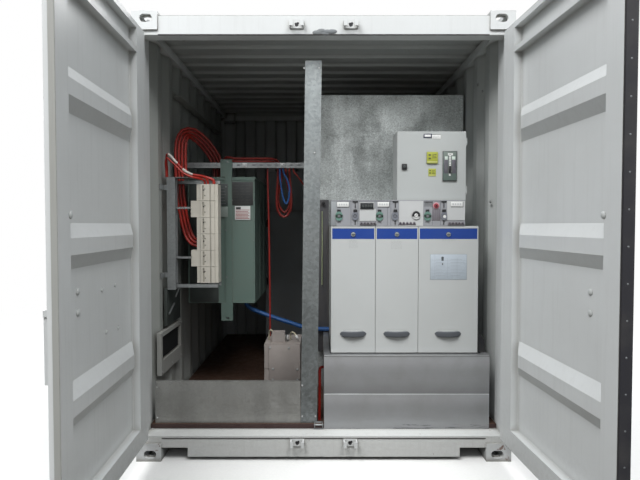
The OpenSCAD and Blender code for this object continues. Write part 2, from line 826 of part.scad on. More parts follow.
// A folded door with a raised escutcheon round the breaker's toggle and a quarter-turn lock
module control_box_door() {
    t = box_door_t;
    color(light_grey) {
        translate([box_left, box_front - t - 0.3, panel_top_z]) {
            difference() {
                translate([1, 0, 1]) cube([box_w - 2, t, box_h - 2]);
                translate([3, 2, 3]) cube([box_w - 6, t, box_h - 6]);
            }
            difference() {
                translate([309, -6, 132]) cube([96, 7, 203]);
                translate([345, -7, 176]) cube([26, 5, 62]);
            }
            translate([350, -16, 190]) rotate([-20, 0, 0]) cube([16, 15, 34]);
            translate([49, 0.5, 226]) facing(9) circle(17);
        }
        for (z = box_hinge_zs) translate([box_hinge[0], box_hinge[1], z]) difference() {
            union() {
                cylinder(r = 4, h = 20, center = true);
                translate([-6, -3.5, -10]) cube([6, 2.5, 20]);
            }
            cylinder(r = 2.4, h = 30, center = true);
        }
    }
}

// A C-shaped strut, open upwards, with slots along its face
module strut_beam() {
    right = -60;
    t = 2.5;
    color(galvanised) {
        translate([-wall_in, beam_front, beam_base]) difference() {
            cube([right + wall_in, beam_side, beam_side]);
            translate([-1, t, t]) cube([right + wall_in + 2, beam_side - 2 * t, beam_side - 2 * t]);
            translate([-1, 10, t]) cube([right + wall_in + 2, beam_side - 20, beam_side]);
            for (x = [80:60:right + wall_in - 40])
                translate([x, t + 1, beam_side / 2]) facing(t + 2) long_slot(28, 6.5);
        }
        translate([right - 6, beam_front + beam_side, beam_base])
            cube([6, partition_y - beam_front - beam_side, beam_side]);
    }
}

module long_slot(length, r) {
    for (side = [-1, 1]) translate([side * (length / 2 - r), 0]) circle(r);
    square([length - 2 * r, 2 * r], center = true);
}

// A flat strap down from the beam, which both housings are bolted to, wider above and below them
module mounting_strap() {
    wide = 92;
    mid = (strap_x + housing_x) / 2;
    foot = housing_base - 140;
    head = beam_base + beam_side + 25;
    half = (housing_x - strap_x) / 2 + 4;
    color(grey_green) translate([mid - 15, beam_front, 0]) difference() {
        facing(6) polygon([[-wide / 2, foot], [wide / 2, foot], [wide / 2, housing_base - 1],
            [half + 15, housing_base - 1], [half + 15, housing_top + 1], [wide / 2, housing_top + 1],
            [wide / 2, head], [-wide / 2, head], [-wide / 2, housing_top + 1], [15 - half, housing_top + 1],
            [15 - half, housing_base - 1], [-wide / 2, housing_base - 1]]);
        translate([0, 1, foot + 24]) facing(8) circle(7);
    }
}

// One closed housing: a lid and a foot that stand out a little, and a sunk front cover
module busbar_housing(w) {
    rim = 5;
    color(grey_green) {
        difference() {
            cube([w, housing_d, housing_h]);
            translate([10, -1, 14]) cube([w - 20, 5, housing_h - 40]);
        }
        translate([0, 4, housing_h - 16]) cube([w + rim, housing_d - 4, 16]);
        for (y = [housing_d * 0.36, housing_d * 0.7]) translate([0, y, 0]) cube([w + rim, 14, housing_h]);
    }
}

module busbar_housings() {
    translate([housing_x, beam_front, housing_base]) busbar_housing(housing_w);
    translate([strap_x - 300, beam_front, housing_base]) busbar_housing(300);
}

// An upright beside the wall, arms out from it and the plate behind the fuse modules
module fuse_board_frame() {
    bar = 24;
    post_at = -1142;
    post_side = 62;
    top = modules_top + 8;
    arms = [module_base - 32, module_base + module_h * 1.5, module_base + module_h * 4.5, top];
    reach = module_x + module_w - post_at - post_side;
    back_bar = board_back - bar;
    color(galvanised) {
        translate([post_at, 450, upright_base - 32]) difference() {
            cube([post_side, 60, shelf_z - upright_base + 32]);
            translate([4, 4, -1]) cube([post_side, 52, shelf_z - upright_base + 34]);
        }
        for (z = [upright_base + 60, shelf_z - 90]) translate([-wall_in, first_crest + 10, z]) {
            cube([6, 446 - first_crest, 36]);
            translate([0, 440 - first_crest, 0]) cube([wall_in + post_at + 2, 6, 36]);
        }
        for (z = [arms[1], arms[2]])
            translate([post_at + 2, 480, z]) cube([module_x - 44.5 - post_at, bar, 14]);
        translate([post_at + 2, 480, arms[0]]) cube([reach + post_side - 2, bar, bar]);
        translate([module_x + 20, 504, arms[0]]) cube([40, board_back - 504, bar]);
        translate([post_at + 2, back_bar, arms[3]]) cube([reach + post_side - 2, bar, bar]);
        translate([post_at + 2, 480, arms[3]]) cube([bar, back_bar - 479, bar]);
        translate([3 - wall_in, 462, shelf_z]) cube([wall_in - 960, back_bar - 462, shelf_t]);
        translate([post_at + 2, 480, arms[3] + bar - 1]) cube([bar, back_bar - 490, shelf_z - arms[3] - bar + 2]);
        translate([module_x, board_back, arms[0]]) cube([module_w, 6, arms[3] - arms[0] + bar]);
    }
}

// Moulded modules in a column, the second and fifth wider to the left: each has a raised centre with a
// finger slot, and a sunk strip at each side
module fuse_modules() {
    h = module_h - 1;
    color(cream) for (i = [0:module_count - 1]) {
        wide = i == 1 || i == module_count - 2 ? 44 : 0;
        translate([module_x, module_front, module_base + i * module_h + 0.5]) difference() {
            translate([-wide, 0, 0]) cube([module_w + wide, module_d - 0.3, h]);
            translate([-wide - 1, -1, -1]) cube([module_w * 0.19 + wide + 1, 13, h + 2]);
            translate([module_w * 0.28, -1, 10]) cube([module_w * 0.08, 11, h - 20]);
            translate([module_w * 0.62, -1, -1]) cube([module_w * 0.06, 9, h + 2]);
            translate([module_w * 0.84, -1, -1]) cube([module_w * 0.2, 7, h + 2]);
            for (z = [h * 0.3, h * 0.7]) translate([module_w * 0.4, 12, z]) facing(14) circle(5);
            translate([-wide - 1, -1, h - 3]) cube([module_w + wide + 2, 4, 4]);
        }
    }
}

// A cable terminal box with a cover on its front, and the clamp block on its top
module terminal_box() {
    w = 265;
    d = 330;
    h = 463;
    color([0.46, 0.45, 0.44]) translate([-436, 470, floor_top]) {
        difference() {
            cube([w, d, h]);
            translate([-1, -1, h - 188]) cube([w + 2, 6, 6]);
        }
        translate([34, -5, h - 150]) cube([w - 34, 5, 150]);
        translate([34, -8, h - 280]) cube([w - 34, 8, 88]);
        translate([56, 30, h]) cube([94, 60, 84]);
        translate([46, 20, h]) cube([114, 80, 8]);
    }
}

// A floor-standing cabinet in two stages, the upper one set back, each with its own door
module rear_cabinet() {
    w = 500;
    d = 400;
    step_z = 1671 - floor_top;
    h = 2090 - floor_top;
    color([0.45, 0.47, 0.48]) translate([-575, 1900, floor_top]) {
        difference() {
            cube([w, d, step_z]);
            translate([12, -1, 12]) cube([w - 24, 5, step_z - 24]);
        }
        translate([18, 0, 90]) cube([w - 36, 12, step_z - 120]);
        translate([20, 90, step_z]) cube([w - 40, d - 90, h - step_z]);
        translate([40, 80, step_z + 20]) cube([w - 80, 10, h - step_z - 40]);
    }
}

// A round cable along a list of points: rings across the route, closed at both ends
module cable(route, d, up = [0, 1, 0]) {
    sides = 8;
    last = len(route) - 1;
    ring = [for (i = [0:last])
        let (run = route[min(i + 1, last)] - route[max(i - 1, 0)],
             along = run / norm(run),
             across = cross(along, up) / norm(cross(along, up)),
             third = cross(across, along))
        for (k = [0:sides - 1]) route[i] + d / 2 * (cos(k * 360 / sides) * across + sin(k * 360 / sides) * third)];
    polyhedron(points = ring, faces = concat(
        [[for (k = [0:sides - 1]) k]],
        [for (i = [0:last - 1], k = [0:sides - 1])
            [i * sides + k, (i + 1) * sides + k, (i + 1) * sides + (k + 1) % sides, i * sides + (k + 1) % sides]],
        [[for (k = [sides - 1:-1:0]) last * sides + k]]));
}

// Points along a smooth curve through the given ones, two to a span
function smooth(p) = concat(
    [for (i = [0:len(p) - 2], t = [0, 0.5])
        let (a = p[max(i - 1, 0)], b = p[i], c = p[i + 1], d = p[min(i + 2, len(p) - 1)])
        b + t / 2 * (c - a) + t * t * (a - 2.5 * b + 2 * c - 0.5 * d) + t * t * t / 2 * (3 * b - a - 3 * c + d)],
    [p[len(p) - 1]]);

// A route beside another one: moved across it, so that nested cables keep their distance
function beside(p, gap) = [for (i = [0:len(p) - 1])
    let (run = p[min(i + 1, len(p) - 1)] - p[max(i - 1, 0)],
         side = cross(run, [0, 1, 0]))
    p[i] + gap * side / norm(side)];

// A loop that hangs from the strut beam: down on the left, round, and up on the right to the beam's underside
function hanging(from, to, wide, y, depth) =
    let (mid = (from + to) / 2, low = beam_base - depth)
    [[from, y, beam_base - 60], [mid - wide / 2, y + 4, low + depth * 0.42], [mid - wide * 0.42, y + 6, low + 50],
     [mid, y + 8, low], [mid + wide * 0.42, y + 4, low + 50], [mid + wide / 2, y, low + depth * 0.42],
     [to, y - 10, beam_base - 80], [to, beam_front + 22, beam_base - 22]];

// The cables from the housings to the fuse board, and those along and under the beam
module red_cables() {
    seat = housing_top + 0.3;
    lay = red_cable_d + 3;
    arch = [[-831, 861, 1990], [-862, 846, 2088], [-930, 800, 2192], [-1012, 734, 2262], [-1070, 676, 2250],
        [-1098, 640, 2175], [-1101, 627, 2060]];
    rise = [[-829, 862, seat], [-829, 862, seat + 30]];
    fall = concat(arch, [[-1099, 624, 1960], [-1096, 624, 1850], [-1086, 625, 1730], [-1068, 628, 1610],
        [-1044, 626, 1505], [-1016, 618, 1440], [-985, 609, 1410]]);
    tray = [[-1046, 618, 1965], [-1028, 606, 1918], [-985, 586, shelf_z + shelf_t + 11.5],
        [-905, 562, shelf_z + shelf_t + 12], [-842, 552, shelf_z + shelf_t - 6], [-822, 550, modules_top + 34]];
    tail_d = 16;
    tail = [[-1152, 500, shelf_z + 62], [-1150, 478, 2010], [-1136, 446, 2050], [-1112, 438, 2042],
        [-1062, 436, 1987], [-1004, 440, 1930], [-950, 462, 1905], [-896, 494, 1900], [-866, 518, 1880]];
    under_it = [[0, -20, -8], [0, -20, -22], [0, -6, -26], [-9, -2, -27], [-7, 0, -20], [-7, 0, -20],
        [0, -10, -19], [-22, -14, -20], [-24, -6, -8]];
    on_beam = beam_base + beam_side + 22.5;
    color([0.62, 0.16, 0.10]) {
        for (k = [-1:1]) cable(beside(concat(rise, smooth(fall), [[-960, 607, 1406], [module_x - 0.3, 607, 1406]]),
            k * lay), red_cable_d);
        cable(concat(beside(concat(rise, smooth(arch)), 2 * lay), smooth(tray),
            [[-818, 550, modules_top + 18], [-818, 550, modules_top + 0.2]]), red_cable_d);
        for (k = [0, 1]) cable(concat([[-1152, 500 - 20 * k, shelf_z + shelf_t + 0.2],
            [-1152, 500 - 20 * k, shelf_z + 40]], smooth([for (i = [0:8]) tail[i] + k * under_it[i]]),
            [[-858 - 24 * k, 530, modules_top + 20], [-858 - 24 * k, 530, modules_top + 0.2]]), tail_d);
        for (k = [0, 1]) {
            along = beside([[-798, 838, seat + 30], [-798, 838, 1990], [-791, 827, 2038], [-766, 806, 2066],
                [-700, 791, on_beam], [-600, 791, on_beam], [-480, 791, on_beam]], 24 * (k - 0.5));
            cable(concat([[along[0][0], 838, seat]], smooth(concat(along,
                [[-420 + 14 * k, 800, on_beam - 11 + 22 * k], [-376 + 24 * k, 832 + 10 * k, 2028 + 10 * k]],
                hanging([-362, -333][k], [-268, -296][k], [118, 96][k], [846, 872][k], [388, 350][k]))),
                [[[-268, -296][k], beam_front + 22, beam_base - 0.3]]), 19);
        }
        cable(concat([[-236, 790, beam_base - 0.3], [-236, 790, beam_base - 12]],
            smooth([[-230, 792, beam_base - 34], [-205, 802, 1930], [-172, 832, 1885], [-146, 876, 1850],
                [-132, 918, 1830], [-124, 936, 1822]]),
            [[-114, 941, 1818], [-100.3, 941, 1818]]), 12);
        cable(concat([[-442, 800, beam_base - 0.3], [-442, 800, beam_base - 60]],
            smooth([[-438, 796, 1800], [-430, 780, 1500], [-424, 760, 1200], [-420, 740, 900], [-419, 735, 760]]),
            [[-419, 735, 700], [-419, 735, floor_top + 463.3]]), 13);
        cable([[-28, 210, floor_top + 0.3], [-28, 210, 260], [-27, 212, 360], [-26, 216, 440], [-26, 236, 490],
            [-26, 268, 516], [-22, 296, 528], [-14, 312, 530], [-6, 318, 530], [middle_x - 0.3, 318, 530]],
            20, [1, -1, 1]);
    }
}

// The hose from the housings to the ring main unit, and a blue loop among the red ones
module blue_cable() {
    end_z = 690;
    drop = housing_base - end_z;
    route = [[-612, 898, 0.78], [-580, 893, 0.69], [-529, 885, 0.6], [-440, 875, 0.465], [-350, 870, 0.33],
        [-260, 866, 0.21], [-179, 862, 0.09], [-100, 858, 0.03], [-30, 855, 0]];
    color([0.10, 0.30, 0.55]) {
        cable(concat([[-630, 900, housing_base - 0.3], [-630, 900, end_z + 0.88 * drop]],
            [for (p = route) [p[0], p[1], end_z + p[2] * drop]],
            [[20, 855, end_z], [unit_left - 0.3, 855, end_z]]), blue_cable_d);
        cable(concat([[-344, beam_front + 22, beam_base - 0.3], [-344, beam_front + 22, beam_base - 20]],
            smooth([[-343, 796, 1925], [-334, 792, 1850], [-322, 788, 1775], [-304, 784, 1716], [-285, 782, 1712],
                [-270, 784, 1768], [-268, 786, 1840], [-288, 788, 1905], [-312, 789, 1945]]),
            [[-320, beam_front + 22, beam_base - 20], [-320, beam_front + 22, beam_base - 0.3]]), 14);
    }
}

shifted() corner_castings();
shifted() door_end_posts();
shifted() rear_posts();
shifted() door_header();
shifted() door_sill();
shifted() cam_keepers();
shifted() top_rails();
shifted() bottom_rails();
shifted() cross_members();
shifted() plywood_floor();
shifted() left_wall();
shifted() right_wall();
shifted() rear_wall();
shifted() roof_panel();
shifted() wall_ledge();
shifted() hatch_frame();
shifted() on_left_door() door_frame();  // left_door_frame
shifted() on_left_door() door_panel();  // left_door_panel
shifted() on_left_door() door_seal(false);  // left_door_seal
shifted() on_left_door() lock_brackets();  // left_lock_brackets
shifted() on_left_door() lock_rod();  // left_lock_rod
shifted() on_left_door() handle_bar();  // left_handle
shifted() on_right_door() door_frame();  // right_door_frame
shifted() on_right_door() door_panel();  // right_door_panel
shifted() on_right_door() door_seal(true);  // right_door_seal
shifted() on_right_door() lock_brackets();  // right_lock_brackets
shifted() on_right_door() lock_rod();  // right_lock_rod
shifted() on_right_door() handle_bar();  // right_handle
shifted() centre_post();
shifted() kick_panel();
shifted() partition_sheet();
shifted() plinth_planks();
shifted() plinth_frame();
shifted() ring_main_tank();
shifted() mechanism_panel();
shifted() facia_plates();
shifted() shaft_escutcheons();
shifted() cover_at(unit_left, cover_a);  // cable_cover_left
shifted() cover_at(unit_left + cover_a, cover_b);  // cable_cover_middle
shifted() cover_at(unit_left + cover_a + cover_b, cover_c);  // cable_cover_right
shifted() cover_bands();
shifted() cable_duct();
shifted() control_box_body();
shifted() control_box_door();
shifted() strut_beam();
shifted() mounting_strap();
shifted() busbar_housings();
shifted() fuse_board_frame();
shifted() fuse_modules();
shifted() terminal_box();
shifted() rear_cabinet();
shifted() red_cables();
shifted() blue_cable();
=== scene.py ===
import math
import random

import bmesh
import bpy
from mathutils import Matrix, Vector


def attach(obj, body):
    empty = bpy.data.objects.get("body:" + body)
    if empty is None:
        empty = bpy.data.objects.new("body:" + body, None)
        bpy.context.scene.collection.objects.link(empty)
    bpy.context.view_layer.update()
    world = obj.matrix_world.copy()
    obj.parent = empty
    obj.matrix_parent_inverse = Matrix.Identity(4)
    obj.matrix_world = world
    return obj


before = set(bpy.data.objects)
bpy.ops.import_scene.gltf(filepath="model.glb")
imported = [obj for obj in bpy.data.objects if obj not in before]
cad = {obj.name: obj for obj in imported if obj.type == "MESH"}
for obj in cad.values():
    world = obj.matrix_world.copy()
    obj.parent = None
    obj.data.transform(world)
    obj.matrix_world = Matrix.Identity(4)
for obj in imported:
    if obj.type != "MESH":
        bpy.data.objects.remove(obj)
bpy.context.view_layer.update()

# The camera stands where the photographer stood: 3.2 m in front of the doors, at chest height, looking
# straight in and a little down. Sizes were measured in the container's own frame, whose middle line and
# door-end casting face are the zeros of X and Y; MIDDLE takes a point of it to the model's frame.
MIDDLE = Vector((0.0449015, 0.8923631, 0.0))
camera = bpy.data.objects.new("camera", bpy.data.cameras.new("camera"))
SENSOR = 36.0
FOCAL_PIXELS = 503.0
PHOTO_WIDTH = 640.0
TILT = 1.71
camera.data.sensor_width = SENSOR
camera.data.lens = SENSOR * FOCAL_PIXELS / PHOTO_WIDTH
camera.data.clip_end = 100.0
camera.location = Vector((-0.024, -3.226, 1.538)) - MIDDLE
camera.rotation_euler = (math.radians(90.0 - TILT), 0.0, 0.0)
bpy.context.scene.collection.objects.link(camera)
bpy.context.scene.camera = camera
bpy.context.scene.view_settings.view_transform = "Standard"


# The studio: a pale matt floor, a soft sky and three wide lamps, the largest from the front left, where
# the photograph's daylight comes from. The camera, and reflections, see a white backdrop.
def linear(hex_colour):
    parts = [int(hex_colour[i:i + 2], 16) / 255.0 for i in (1, 3, 5)]
    return tuple(c / 12.92 if c <= 0.04045 else ((c + 0.055) / 1.055) ** 2.4 for c in parts) + (1.0,)


def add(tree, kind, inputs=(), **settings):
    """Adds one node: settings are its properties, inputs its sockets' values, or the outputs that they take.
    Of a node they take the first output in use."""
    made = tree.nodes.new(kind)
    for name, value in settings.items():
        setattr(made, name, value)
    for name, value in dict(inputs).items():
        if isinstance(value, bpy.types.Node):
            value = next(output for output in value.outputs if output.enabled)
        if isinstance(value, bpy.types.NodeSocket):
            tree.links.new(value, made.inputs[name])
        else:
            made.inputs[name].default_value = value
    return made


world = bpy.data.worlds.new("studio")
bpy.context.scene.world = world
world.use_nodes = True
tree = world.node_tree
tree.nodes.clear()
rays = add(tree, "ShaderNodeLightPath")
seen = add(tree, "ShaderNodeMath", {0: rays.outputs["Is Camera Ray"], 1: rays.outputs["Is Glossy Ray"]},
           operation="MAXIMUM")
seen = add(tree, "ShaderNodeMath", {0: seen, 1: rays.outputs["Is Transmission Ray"]}, operation="MAXIMUM")
height = add(tree, "ShaderNodeSeparateXYZ", {0: add(tree, "ShaderNodeTexCoord").outputs["Generated"]})
soft_sky = add(tree, "ShaderNodeMapRange", {0: height.outputs["Z"], 1: 0.0, 2: 0.85, 3: 0.10, 4: 0.84})
soft = add(tree, "ShaderNodeBackground", {"Color": linear("#EEF2F7"), "Strength": soft_sky})
white = add(tree, "ShaderNodeBackground", {"Color": (1, 1, 1, 1), "Strength": 1.0})
both = add(tree, "ShaderNodeMixShader", {0: seen, 1: soft, 2: white})
add(tree, "ShaderNodeOutputWorld", {"Surface": both})

for name, place, aim, size, power in (
        ("key", (-3.6, -6.2, 9.4), (0, -0.5, 1.2), 5.0, 815.0),
        ("fill", (2.6, -6.3, 9.6), (0, -0.5, 1.2), 4.0, 490.0),
        ("rear", (2.5, 8.6, 5.2), (0, 1.0, 1.5), 5.0, 430.0)):
    lamp = bpy.data.objects.new(name, bpy.data.lights.new(name, "AREA"))
    lamp.data.shape = "DISK"
    lamp.data.size = size
    lamp.data.energy = power
    lamp.location = place
    lamp.rotation_euler = (Vector(aim) - Vector(place)).to_track_quat("-Z", "Y").to_euler()
    bpy.context.scene.collection.objects.link(lamp)


def blank_material(name):
    """A node material, its tree, and the one thing in it yet: the place on the object."""
    made = bpy.data.materials.new(name)
    made.use_nodes = True
    tree = made.node_tree
    tree.nodes.clear()
    return made, tree, add(tree, "ShaderNodeTexCoord").outputs["Object"]


floor_mesh = bpy.data.meshes.new("studio_floor")
floor_mesh.from_pydata([(-40, -40, 0), (40, -40, 0), (40, 40, 0), (-40, 40, 0)], [], [(0, 1, 2, 3)])
studio_floor = bpy.data.objects.new("studio_floor", floor_mesh)
bpy.context.scene.collection.objects.link(studio_floor)
floor_paint, tree, place = blank_material("studio_floor")
rays = add(tree, "ShaderNodeLightPath")
grain = add(tree, "ShaderNodeTexNoise", {"Vector": place, "Scale": 60.0})
pale = add(tree, "ShaderNodeMix", {0: grain, 6: linear("#F0F0EE"), 7: linear("#FAFAF8")}, data_type="RGBA")
# The camera sees a pale floor; the light that it throws up on the object is that of a darker yard
tone = add(tree, "ShaderNodeMix", {0: rays.outputs["Is Camera Ray"], 6: linear("#6A6762"), 7: pale},
           data_type="RGBA")
matt = add(tree, "ShaderNodeBsdfDiffuse", {"Color": tone})
# Beyond the object's shadow the floor curves up into the white backdrop
away = add(tree, "ShaderNodeVectorMath", {0: place}, operation="LENGTH")
away = add(tree, "ShaderNodeMapRange", {0: away.outputs["Value"], 1: 3.0, 2: 7.5, 3: 0.0, 4: 1.0},
           interpolation_type="SMOOTHSTEP")
away = add(tree, "ShaderNodeMath", {0: away, 1: rays.outputs["Is Camera Ray"]}, operation="MULTIPLY")
backdrop = add(tree, "ShaderNodeEmission", {"Color": (1, 1, 1, 1), "Strength": 1.0})
both = add(tree, "ShaderNodeMixShader", {0: away, 1: matt, 2: backdrop})
add(tree, "ShaderNodeOutputMaterial", {"Surface": both})
floor_mesh.materials.append(floor_paint)


# The container's shell: Corten steel pressings, welded, then sprayed with white two-pack paint. The film
# has a fine orange peel, a grey road film that has run down it, and grime with painted shade where sheets and
# members meet. Faces inside the room are drawn darker as painted shade. CORE is the middle of the container's
# room.
CORE = Vector((0.0, 1.5, 1.45)) - MIDDLE


def patches(tree, where, scale, detail, rough, low, high, bottom, top):
    """Soft patches: a noise whose part between low and high is spread from bottom to top."""
    noise = add(tree, "ShaderNodeTexNoise", {"Vector": where, "Scale": scale, "Detail": detail,
                                             "Roughness": rough})
    return add(tree, "ShaderNodeMapRange", {0: noise, 1: low, 2: high, 3: bottom, 4: top})


def paint(name, colour, grime_and_shade="#7B766C", runs=0.08, corners=0.5, splash=0.0, inward_shade=None,
          outward_shade="#FFFFFF", rust=0.0):
    made, tree, place = blank_material(name)
    # Clouds of slightly older film, about 400 mm across
    cloud = patches(tree, place, 2.4, 5.0, 0.6, 0.35, 0.7, 0.0, 0.08)
    # Runs: 25 mm wide and about 600 mm long
    long = add(tree, "ShaderNodeMapping", {"Vector": place, "Scale": (38.0, 38.0, 1.6)})
    run = patches(tree, long, 1.0, 5.0, 0.62, 0.52, 0.78, 0.0, runs)
    # Grime and painted shade in the corners: darker within 45 mm of the next member, by ambient occlusion
    corner_dirt_and_shade = add(tree, "ShaderNodeAmbientOcclusion", {"Distance": 0.045}, samples=6)
    corner_dirt_and_shade = add(tree, "ShaderNodeMapRange", {0: corner_dirt_and_shade.outputs["AO"], 1: 0.45, 2: 0.95, 3: corners, 4: 0.0})
    # Small scuffs and specks, 2 to 6 mm
    speck = patches(tree, place, 210.0, 3.0, 0.7, 0.66, 0.74, 0.0, 0.22)
    total = add(tree, "ShaderNodeMath", {0: cloud, 1: run}, operation="ADD")
    total = add(tree, "ShaderNodeMath", {0: total, 1: corner_dirt_and_shade}, operation="MAXIMUM")
    total = add(tree, "ShaderNodeMath", {0: total, 1: speck}, operation="MAXIMUM")
    if splash:
        # Mud splashed up from the ground, thinning out by 600 mm
        split = add(tree, "ShaderNodeSeparateXYZ", {0: place})
        rise = add(tree, "ShaderNodeMapRange", {0: split.outputs["Z"], 1: 0.0, 2: 0.6, 3: splash, 4: 0.0})
        drops = patches(tree, place, 34.0, 6.0, 0.75, 0.4, 0.62, 0.15, 1.0)
        mud = add(tree, "ShaderNodeMath", {0: rise, 1: drops}, operation="MULTIPLY")
        total = add(tree, "ShaderNodeMath", {0: total, 1: mud}, operation="MAXIMUM")
    shade = add(tree, "ShaderNodeMix", {"Factor": total, 6: linear(colour), 7: linear(grime_and_shade)},
                data_type="RGBA")
    if inward_shade:
        # Painted shade: faces that look to the container's middle are darkened by the inward shade colour,
        # the others by the outward one
        middle = add(tree, "ShaderNodeVectorMath", {0: place, 1: tuple(-c for c in CORE)}, operation="ADD")
        facing = add(tree, "ShaderNodeNewGeometry").outputs["True Normal"]
        facing = add(tree, "ShaderNodeVectorMath", {0: middle, 1: facing}, operation="DOT_PRODUCT")
        facing = add(tree, "ShaderNodeMath", {0: facing.outputs["Value"], 1: 0.0}, operation="LESS_THAN")
        toned = add(tree, "ShaderNodeMix", {0: 1.0, 6: shade, 7: linear(inward_shade)},
                    data_type="RGBA", blend_type="MULTIPLY")
        outward_shaded = add(tree, "ShaderNodeMix", {0: 1.0, 6: shade, 7: linear(outward_shade)},
                        data_type="RGBA", blend_type="MULTIPLY")
        shade = add(tree, "ShaderNodeMix", {0: facing, 6: outward_shaded, 7: toned}, data_type="RGBA")
    if rust:
        # Rust where lifting hooks and stacked boxes have knocked the film off, worst on the lowest parts
        split = add(tree, "ShaderNodeSeparateXYZ", {0: place})
        low = add(tree, "ShaderNodeMapRange", {
            0: split.outputs["Z"], 1: 0.0, 2: 0.9, 3: rust, 4: rust * 0.25})
        knocks = add(tree, "ShaderNodeTexNoise", {
            "Vector": place, "Scale": 17.0, "Detail": 9.0, "Roughness": 0.72})
        knocks = add(tree, "ShaderNodeMath", {0: knocks, 1: low}, operation="ADD")
        knocks = add(tree, "ShaderNodeMapRange", {0: knocks, 1: 0.70, 2: 0.76, 3: 0.0, 4: 0.85})
        tint = add(tree, "ShaderNodeTexNoise", {"Vector": place, "Scale": 90.0, "Detail": 4.0})
        tint = add(tree, "ShaderNodeMix", {0: tint, 6: linear("#4E2F20"),
                                           7: linear("#8A5534")}, data_type="RGBA")
        shade = add(tree, "ShaderNodeMix", {0: knocks, 6: shade, 7: tint}, data_type="RGBA")
        total = add(tree, "ShaderNodeMath", {0: total, 1: knocks}, operation="MAXIMUM")
    gloss = add(tree, "ShaderNodeMapRange", {0: total, 1: 0.0, 2: 0.6, 3: 0.38, 4: 0.78})
    # Orange peel, drawn 1.2 mm across
    peel = 0.0012
    skin = add(tree, "ShaderNodeTexNoise", {"Vector": place, "Scale": 1.0 / (3.0 * peel), "Detail": 2.0})
    bump = add(tree, "ShaderNodeBump", {"Height": skin, "Strength": 0.25, "Distance": 0.0004})
    body = add(tree, "ShaderNodeBsdfPrincipled", {
        "Base Color": shade, "Roughness": gloss, "Normal": bump, "IOR": 1.5})
    add(tree, "ShaderNodeOutputMaterial", {"Surface": body})
    return made


white_paint = paint("white_container_paint", "#DCDFDF", splash=0.22)
casting_paint = paint("knocked_casting_paint", "#DCDFDF", splash=0.12, corners=0.95, rust=0.12)
sill_paint = paint("trodden_sill_paint", "#DADCDA", splash=0.16, corners=0.6, runs=0.2, rust=0.05)
# Painted shade: inside the room the walls and roof take a darker inward tone, and the roof's upper face is
# darkened too
wall_paint = paint("white_wall_paint", "#DCDFDF", splash=0.22, inward_shade="#BDBEBA")
deep_paint = paint("white_end_wall_paint", "#DCDFDF", splash=0.22, inward_shade="#DCDDDB")
roof_paint = paint("rusted_roof_paint_with_painted_shade", "#DCDFDF", runs=0.0, inward_shade="#DCDDDB", outward_shade="#A4A6A2", rust=0.2)
# Painted shade: the white paint drawn grey for the ledge, the hatch frame and the overpainted left door seal
shaded_inner_paint = paint("grey_inner_paint_painted_shade", "#A6A7A3", runs=0.22, corners=0.6)


def finish_with(material, *names):
    """Gives CAD nodes their finish, in their material slots."""
    for name in names:
        obj = cad[name]
        if not obj.material_slots:
            obj.data.materials.append(material)
        for slot in obj.material_slots:
            slot.material = material


finish_with(white_paint, "door_end_posts", "rear_posts", "door_header", "cam_keepers", "top_rails",
            "cross_members")
finish_with(casting_paint, "corner_castings", "bottom_rails")
finish_with(sill_paint, "door_sill")
finish_with(wall_paint, "left_wall")
finish_with(deep_paint, "rear_wall", "right_wall")
finish_with(roof_paint, "roof_panel")
finish_with(shaded_inner_paint, "wall_ledge", "hatch_frame", "left_door_seal")
for side in ("left", "right"):
    finish_with(white_paint, *[side + part for part in (
        "_door_frame", "_door_panel", "_lock_brackets", "_lock_rod", "_handle")])


